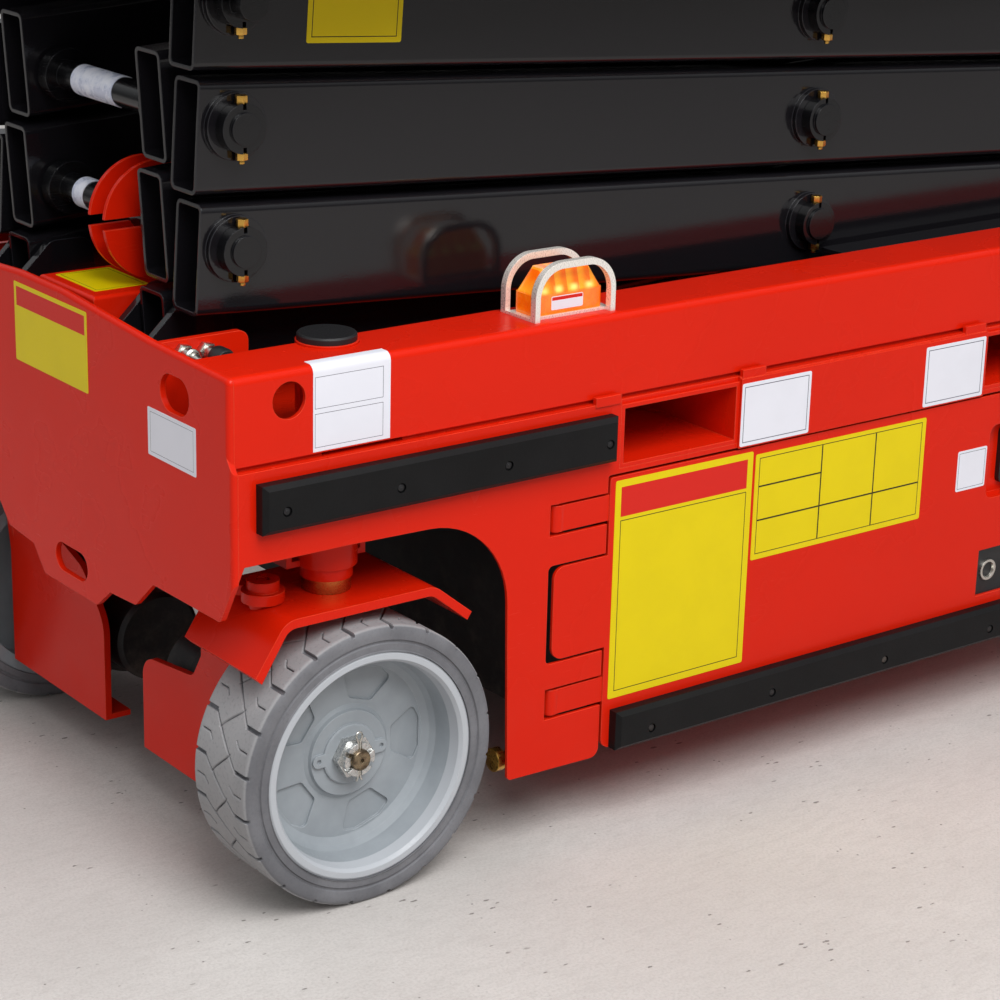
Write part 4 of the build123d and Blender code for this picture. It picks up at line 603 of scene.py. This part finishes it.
# The ribs above the shoulder are lightened in colour: a painted highlight on the upward slopes.
glow = amber.blend(ribs_and_painted_highlight * 0.6 + amber.noise(60.0).ramped(0.3, 0.7) * 0.2, rgb(240, 100, 3), rgb(255, 176, 38))
glow = amber.blend(lit * 0.85, glow, rgb(255, 240, 130))
amber_lens = amber.close(base_color=glow, roughness=amber.noise(90.0).ramped(0.3, 0.7, 0.12, 0.3), ior=1.49,
                         emission_color=glow, emission_strength=0.32, coat_weight=0.6,
                         normal=amber.bump(ribs_and_painted_highlight, 0.0006, 0.5))
repaint(amber_lens, "beacon_lens")

# ---- Printed plates: thin vinyl with rounded corners on doors, cover plate, rail, front plate, deck box
# and top arm. They are blank: a ground colour, coloured header bands and thin frames.
VINYL_T, VINYL_SUNK = 0.0004, 0.0002


def rounded_outline(width, height, corner):
    """The two coordinates of a rectangle's outline, from its middle, with six points round each corner."""
    step = np.arange(24)
    quarter = step // 6
    turn = (quarter + (step % 6) / 5) * np.pi / 2
    return (np.where((quarter == 0) | (quarter == 3), 1, -1) * (width / 2 - corner) + corner * np.cos(turn),
            np.where(quarter < 2, 1, -1) * (height / 2 - corner) + corner * np.sin(turn))


def flat_plate(name, middle, along, upward, out, size, corner=0.003):
    """A rounded rectangle's outline as rings, from the back's middle over the edge to the front's middle."""
    u, v = rounded_outline(*size, corner)
    rows = [(0.0, -VINYL_SUNK), (1.0, -VINYL_SUNK), (1.0, VINYL_T), (0.0, VINYL_T)]
    middle, along, upward, out = (np.array(vector, float) for vector in (middle, along, upward, out))
    ring = u[:, None] * along + v[:, None] * upward
    return surface(name, np.array([middle + k * ring + h * out for k, h in rows]), around=True)


def printed(name, middle, along, upward, ground, marks):
    """A ground colour with boxes laid on it. Each mark is (left, low, right, high, colour, line) in metres from the
    plate's middle; a line of 0 fills the box, and any other is the width of its frame."""
    f = Finish(name)
    spot = f.node("ShaderNodeVectorMath", {"operation": "SUBTRACT"}, {0: f.position(), 1: middle})
    u, v = (f.node("ShaderNodeVectorMath", {"operation": "DOT_PRODUCT"}, {0: spot, 1: axis}, output="Value")
            for axis in (along, upward))
    grain = f.noise(500.0, 2.0)
    tone = f.blend(f.noise(18.0, 4.0).ramped(0.35, 0.7) * 0.10, ground, shaded(ground, 0.7))
    for left, low, right, high, colour, line in marks:
        mask = (u > left) * (u < right) * (v > low) * (v < high)
        if line:
            mask = mask - (u > left + line) * (u < right - line) * (v > low + line) * (v < high - line)
        tone = f.blend(mask, tone, colour)
    return f.close(base_color=tone, roughness=grain.ramped(0.3, 0.7, 0.30, 0.42), specular_ior_level=0.2,
                   normal=f.bump(grain, 0.00003, 0.4))


SIGN_YELLOW, SIGN_WHITE = rgb(220, 197, 3), rgb(222, 222, 230)
SIGN_RED, SIGN_BLACK, SIGN_GREY = rgb(205, 34, 24), rgb(38, 36, 22), rgb(96, 96, 106)
lengthways, upright, crossways = (1.0, 0.0, 0.0), (0.0, 0.0, 1.0), (0.0, 1.0, 0.0)
DOOR_FACE_Y, SLOT_PLATE_Y, ARM_FACE_Y, FRONT_FACE_X = 0.480, 0.484, 0.295, 1.205
THICK_LINE, THIN_LINE = 0.0012, 0.0008


def side_plates(name, bodies, x0, x1, z0, z1, y, ground, marks, lean=0.0):
    """The same plate on the left and right side; lean turns it with a slanting arm, in degrees."""
    tilt = math.radians(lean)
    along, upward = (math.cos(tilt), 0.0, math.sin(tilt)), (-math.sin(tilt), 0.0, math.cos(tilt))
    middle = ((x0 + x1) / 2, 0.0, (z0 + z1) / 2)
    finish = printed(name, middle, along, upward, ground, marks)
    for side, body in zip((1, -1), bodies):
        word = "left" if side > 0 else "right"
        piece = flat_plate(f"{name}_{word}", (middle[0], side * y, middle[2]), along, upward, (0, side, 0),
                           (x1 - x0, z1 - z0))
        dress(piece, body, finish)


doors, both = ("door_left_body", "door_right_body"), ("chassis", "chassis")
side_plates("fork_plate_front", both, 0.268, 0.397, 0.519, 0.609, SLOT_PLATE_Y, SIGN_WHITE,
            [(-0.060, -0.040, 0.060, 0.040, SIGN_GREY, THICK_LINE)])
side_plates("fork_plate_rear", both, -0.083, 0.041, 0.519, 0.609, SLOT_PLATE_Y, SIGN_WHITE,
            [(-0.057, -0.040, 0.057, 0.040, SIGN_GREY, THICK_LINE)])
side_plates("small_white_plate", doors, -0.110, -0.048, 0.372, 0.435, DOOR_FACE_Y, SIGN_WHITE,
            [(-0.028, -0.028, 0.028, 0.028, SIGN_GREY, THIN_LINE)])
side_plates("yellow_notice", doors, 0.366, 0.612, 0.193, 0.507, DOOR_FACE_Y, SIGN_YELLOW,
            [(-0.113, 0.105, 0.113, 0.147, SIGN_RED, 0), (-0.113, -0.147, 0.113, 0.100, SIGN_BLACK, THICK_LINE)])
side_plates("yellow_grid_plate", doors, 0.026, 0.361, 0.345, 0.501, DOOR_FACE_Y, SIGN_YELLOW, [
    (left, low, right, high, SIGN_BLACK, THICK_LINE) for left, low, right, high in (
        (0.040, 0.030, 0.160, 0.072), (0.040, -0.020, 0.160, 0.030), (0.040, -0.070, 0.160, -0.020),
        (-0.066, -0.020, 0.040, 0.072), (-0.160, -0.020, -0.066, 0.072), (-0.066, -0.070, 0.040, -0.020),
        (-0.160, -0.070, -0.066, -0.020))])
side_plates("yellow_arm_plate", ("outer_3", "outer_3"), 0.837, 0.979, 1.084, 1.172, ARM_FACE_Y, SIGN_YELLOW,
            [(-0.064, -0.037, 0.064, 0.037, SIGN_BLACK, THICK_LINE)], lean=3.57)
for name, middle, size, along, upward, out, ground, marks in (
    ("front_yellow_plate", (FRONT_FACE_X, 0.028, 0.687), (0.200, 0.108), crossways, upright, (1, 0, 0),
     SIGN_YELLOW, [(-0.094, 0.022, 0.094, 0.048, SIGN_RED, 0)]),
    ("front_white_plate", (FRONT_FACE_X, 0.339, 0.625), (0.116, 0.062), crossways, upright, (1, 0, 0),
     SIGN_WHITE, [(-0.052, -0.026, 0.052, 0.026, SIGN_GREY, 0.0006)]),
    ("box_yellow_plate", (1.138, 0.048, 0.759), (0.108, 0.080), crossways, lengthways, (0, 0, 1), SIGN_YELLOW,
     [(-0.049, -0.035, 0.049, 0.035, SIGN_BLACK, 0.001)]),
    ("lamp_white_plate", (0.675, 0.442, 0.7535), (0.052, 0.018), lengthways, upright, (0, 1, 0), SIGN_WHITE,
     [(-0.025, 0.0035, 0.025, 0.008, SIGN_RED, 0)]),
):
    finish = printed(name, middle, along, upward, ground, marks)
    dress(flat_plate(name, middle, along, upward, out, size, corner=0.002), "chassis", finish)


def wrapped_plate(name, x0, x1, side):
    """The rail's plate: its section climbs the rail's side, follows the round edge and lies on the top flange."""
    face_y, top_z, edge_radius, low_z, flange_y = 0.472, 0.735, 0.010, 0.626, 0.452
    bend = np.linspace(0, np.pi / 2, 9)
    round_edge = np.stack((np.cos(bend), np.sin(bend)), -1)
    middle = (face_y - edge_radius, top_z - edge_radius)
    outer = np.concatenate(([(face_y, low_z)], middle + edge_radius * round_edge, [(flange_y, top_z)]))
    normal = np.concatenate(([(1.0, 0.0)], round_edge, [(0.0, 1.0)]))
    loop = np.concatenate((outer + 0.0005 * normal, (outer - VINYL_SUNK * normal)[::-1]))
    grid = np.array([[(x, side * y, z) for y, z in loop] for x in (x0, x0 + 0.001, x1 - 0.001, x1)])
    return surface(name, grid, around=True, caps=True)


rail_print = printed("rail_plate_print", (1.0335, 0.0, 0.680), lengthways, upright, SIGN_WHITE,
                     [(-0.050, low, 0.050, high, SIGN_GREY, 0.0007) for low, high in ((-0.049, -0.006), (0.0, 0.040))])
for side, word in ((1, "left"), (-1, "right")):
    dress(wrapped_plate(f"rail_plate_{word}", 0.973, 1.086, side), "chassis", rail_print)

# ---- Plastic film left on the front shafts: a white sleeve round the upper one and a narrow rest of one
# round the lower.
film = Finish("white_film")
crease = film.noise(55.0, 4.0, 0.6)
milky = film.close(base_color=film.blend(crease.ramped(0.35, 0.65), rgb(196, 202, 222), rgb(232, 234, 244)),
                   roughness=crease.ramped(0.3, 0.7, 0.22, 0.4), normal=film.bump(crease, 0.0006, 0.6))
SHAFT_RADIUS = 0.020


def curved_film(name, z, y0, y1, start, stop, rise):
    """Part of a sleeve on a shaft along Y: start and stop are angles in degrees from ahead, up positive."""
    angle = np.radians(np.linspace(start, stop, 30))
    low, high = SHAFT_RADIUS - 0.0004, SHAFT_RADIUS + rise
    loop = np.concatenate((np.stack((high * np.cos(angle), high * np.sin(angle)), -1),
                           np.stack((low * np.cos(angle), low * np.sin(angle)), -1)[::-1]))
    grid = np.array([[(PIN_FRONT_X + a, y, z + b) for a, b in loop] for y in np.linspace(y0, y1, 4)])
    return surface(name, grid, around=True, caps=True)


for name, level, y0, y1, start, stop, rise in (("shaft_sleeve", 2, -0.084, 0.026, -75, 140, 0.0008),
                                               ("film_round_shaft", 1, -0.088, -0.060, -70, 150, 0.0012)):
    strip = curved_film(name, PIN_BASE_Z + ARM_PITCH * level, y0, y1, start, stop, rise)
    dress(strip, f"outer_{level}", milky)

# ---- Grease fittings on the gusset beside the left rail: zinc hexagons with a collar, one with its
# dark rubber cap, screwed into the plate that stands behind the front plate.
def lying_hex(name, x, z, y0, y1, across):
    """A six-sided collar along Y with chamfered ends."""
    angle = np.linspace(0, 2 * np.pi, 6, endpoint=False) + 0.2
    rows = [(0.0, y0), (across * 0.95, y0), (across, y0 + 0.001), (across, y1 - 0.001), (across * 0.95, y1), (0.0, y1)]
    grid = np.array([[(x + q * math.cos(a), y, z + q * math.sin(a)) for a in angle] for q, y in rows])
    return surface(name, grid, around=True)


GUSSET_FACE_Y = 0.2955
fittings, caps = [], []
for x, z, capped in ((1.165, 0.722, False), (1.132, 0.720, True)):
    for side in (1, -1):
        root = side * GUSSET_FACE_Y
        fittings.append(lying_hex("fitting_hex", x, z, root, root + side * 0.012, 0.0125))
        fittings.append(turned("fitting_collar", [(0, 0.012), (0.0090, 0.012), (0.0090, 0.020), (0.0105, 0.022),
                                                  (0.0105, 0.028), (0.0080, 0.030), (0.0080, 0.034), (0, 0.034)],
                               (x, root, z), side, 24))
        if capped:
            caps.append(turned("fitting_cap", [(0, 0.030), (0.0125, 0.030), (0.0135, 0.033), (0.0135, 0.050),
                                               (0.0115, 0.054), (0, 0.055)], (x, root, z), side, 28))
        else:
            fittings.append(turned("fitting_nipple", [(0, 0.034), (0.0060, 0.034), (0.0060, 0.040), (0.0038, 0.044),
                                                      (0.0038, 0.047), (0, 0.048)], (x, root, z), side, 20))
dress(joined("gusset_fittings", fittings), "chassis", zinc)

# ---- Stop screws low behind the steered wheels: a plated rod that comes ahead through the bulkhead,
# with a yellow zinc head against which the motor guard comes to rest.
STOP_Y, STOP_Z = 0.450, 0.135
stops = []
for side in (1, -1):
    for radius, x0, x1 in ((0.008, 0.632, 0.780), (0.0165, 0.772, 0.786)):
        angle = np.linspace(0, 2 * np.pi, 28, endpoint=False)
        rows = [(0.0, x0), (radius * 0.9, x0), (radius, x0 + 0.001),
                (radius, x1 - 0.001), (radius * 0.9, x1), (0.0, x1)]
        grid = np.array([[(x, side * STOP_Y + q * math.cos(a), STOP_Z + q * math.sin(a)) for a in angle]
                         for q, x in rows])
        stops.append(surface("stop_screw", grid, around=True))
dress(joined("stop_screws", stops), "chassis", brass)

# ---- Moulded black parts: caps, battery case, pump, control box, in pebbled plastic with paler edges.
moulded = Finish("black_plastic")
pebble = moulded.noise(900.0, 1.0)
rounded = moulded.rounding(0.0015)
cloud = moulded.noise(11.0, 4.0).ramped(0.35, 0.7)
dark_plastic = rgb(17, 17, 19)
tone = moulded.blend(cloud * 0.3, dark_plastic, tuple(c * 1.5 + 0.004 for c in dark_plastic[:3]) + (1.0,))
tone = moulded.blend(moulded.worn_edges(rounded) * 0.25, tone, rgb(120, 120, 122))
black_plastic = moulded.close(base_color=tone, roughness=pebble.ramped(0.3, 0.7, 0.425, 0.575),
                              normal=moulded.bump(pebble, 0.0002, 0.5, rounded))
repaint(black_plastic, "kingpin_caps", "battery_pack", "power_unit", "control_box")
dress(joined("fitting_caps", caps), "chassis", black_plastic)

# ---- Door fittings: a dark lift-up latch in each pan, and a charging panel with four round sockets
# behind the window low in the door.
def dished_box(name, x0, x1, y0, y1, z0, z1, corner, hollow):
    """A rounded box along Y whose outer face is sunk by hollow inside a rim: outline rings from back to front."""
    u, v = rounded_outline(x1 - x0, z1 - z0, corner)
    rows = [(0.0, y0), (1.0, y0), (1.0, y1), (0.86, y1), (0.80, y1 - hollow), (0.0, y1 - hollow)]
    rings = [np.stack(((x0 + x1) / 2 + k * u, np.full(len(u), y), (z0 + z1) / 2 + k * v), -1) for k, y in rows]
    return surface(name, np.array(rings), around=True)


for side, word in ((1, "left"), (-1, "right")):
    body = f"door_{word}_body"
    latch = dished_box(f"latch_{word}", -0.204, -0.158, side * 0.4568, side * 0.466, 0.362, 0.452, 0.010,
                       side * 0.004)
    dress(latch, body, black_plastic)
    panel = dished_box(f"socket_panel_{word}", -0.334, -0.105, side * 0.467, side * 0.4749, 0.187, 0.273, 0.006,
                       side * 0.0015)
    dress(panel, body, black_plastic)
    rims = [turned("socket_ring", [(0.0, -0.004), (0.0100, -0.004), (0.0115, 0.0), (0.0125, 0.0030), (0.0165, 0.0030),
                                   (0.0170, 0.0), (0.0170, -0.006), (0.0, -0.006)],
                   (x, side * 0.4740, 0.230), side, 28) for x in np.linspace(-0.300, -0.140, 4)]
    dress(joined(f"socket_rings_{word}", rims), body, zinc)

# ---- Platform: guardrails in pale grey, floors of bare chequered sheet.
rail_grey = paint("rail_grey", rgb(176, 180, 182), rgb(214, 216, 216), 0.38, dust=0.0, coat=0.1)
repaint(rail_grey, "main_rails", "gate", "extension_rails")
chequer = Finish("chequered_sheet")
STUDS_PER_METRE = 38.0
cx, cy = chequer.axis("X") * STUDS_PER_METRE, chequer.axis("Y") * STUDS_PER_METRE
narrow = (((cx + cy).wrapped() - 0.5).absolute() * 2.6).smaller(1.0)
lengthy = (((cx - cy).wrapped() - 0.5).absolute() * 0.75).smaller(1.0)
stud = (narrow + lengthy).ramped(0.55, 0.32)
wear = chequer.noise(5.0, 5.0, 0.6)
tone = chequer.blend(wear.ramped(0.3, 0.7), rgb(150, 152, 154), rgb(180, 182, 183))
floor_sheet = chequer.close(base_color=tone, metallic=0.75, roughness=wear.ramped(0.3, 0.7, 0.38, 0.55),
                            normal=chequer.bump(stud, 0.0012, 0.7))
repaint(floor_sheet, "platform_deck", "extension_deck")

low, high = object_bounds()
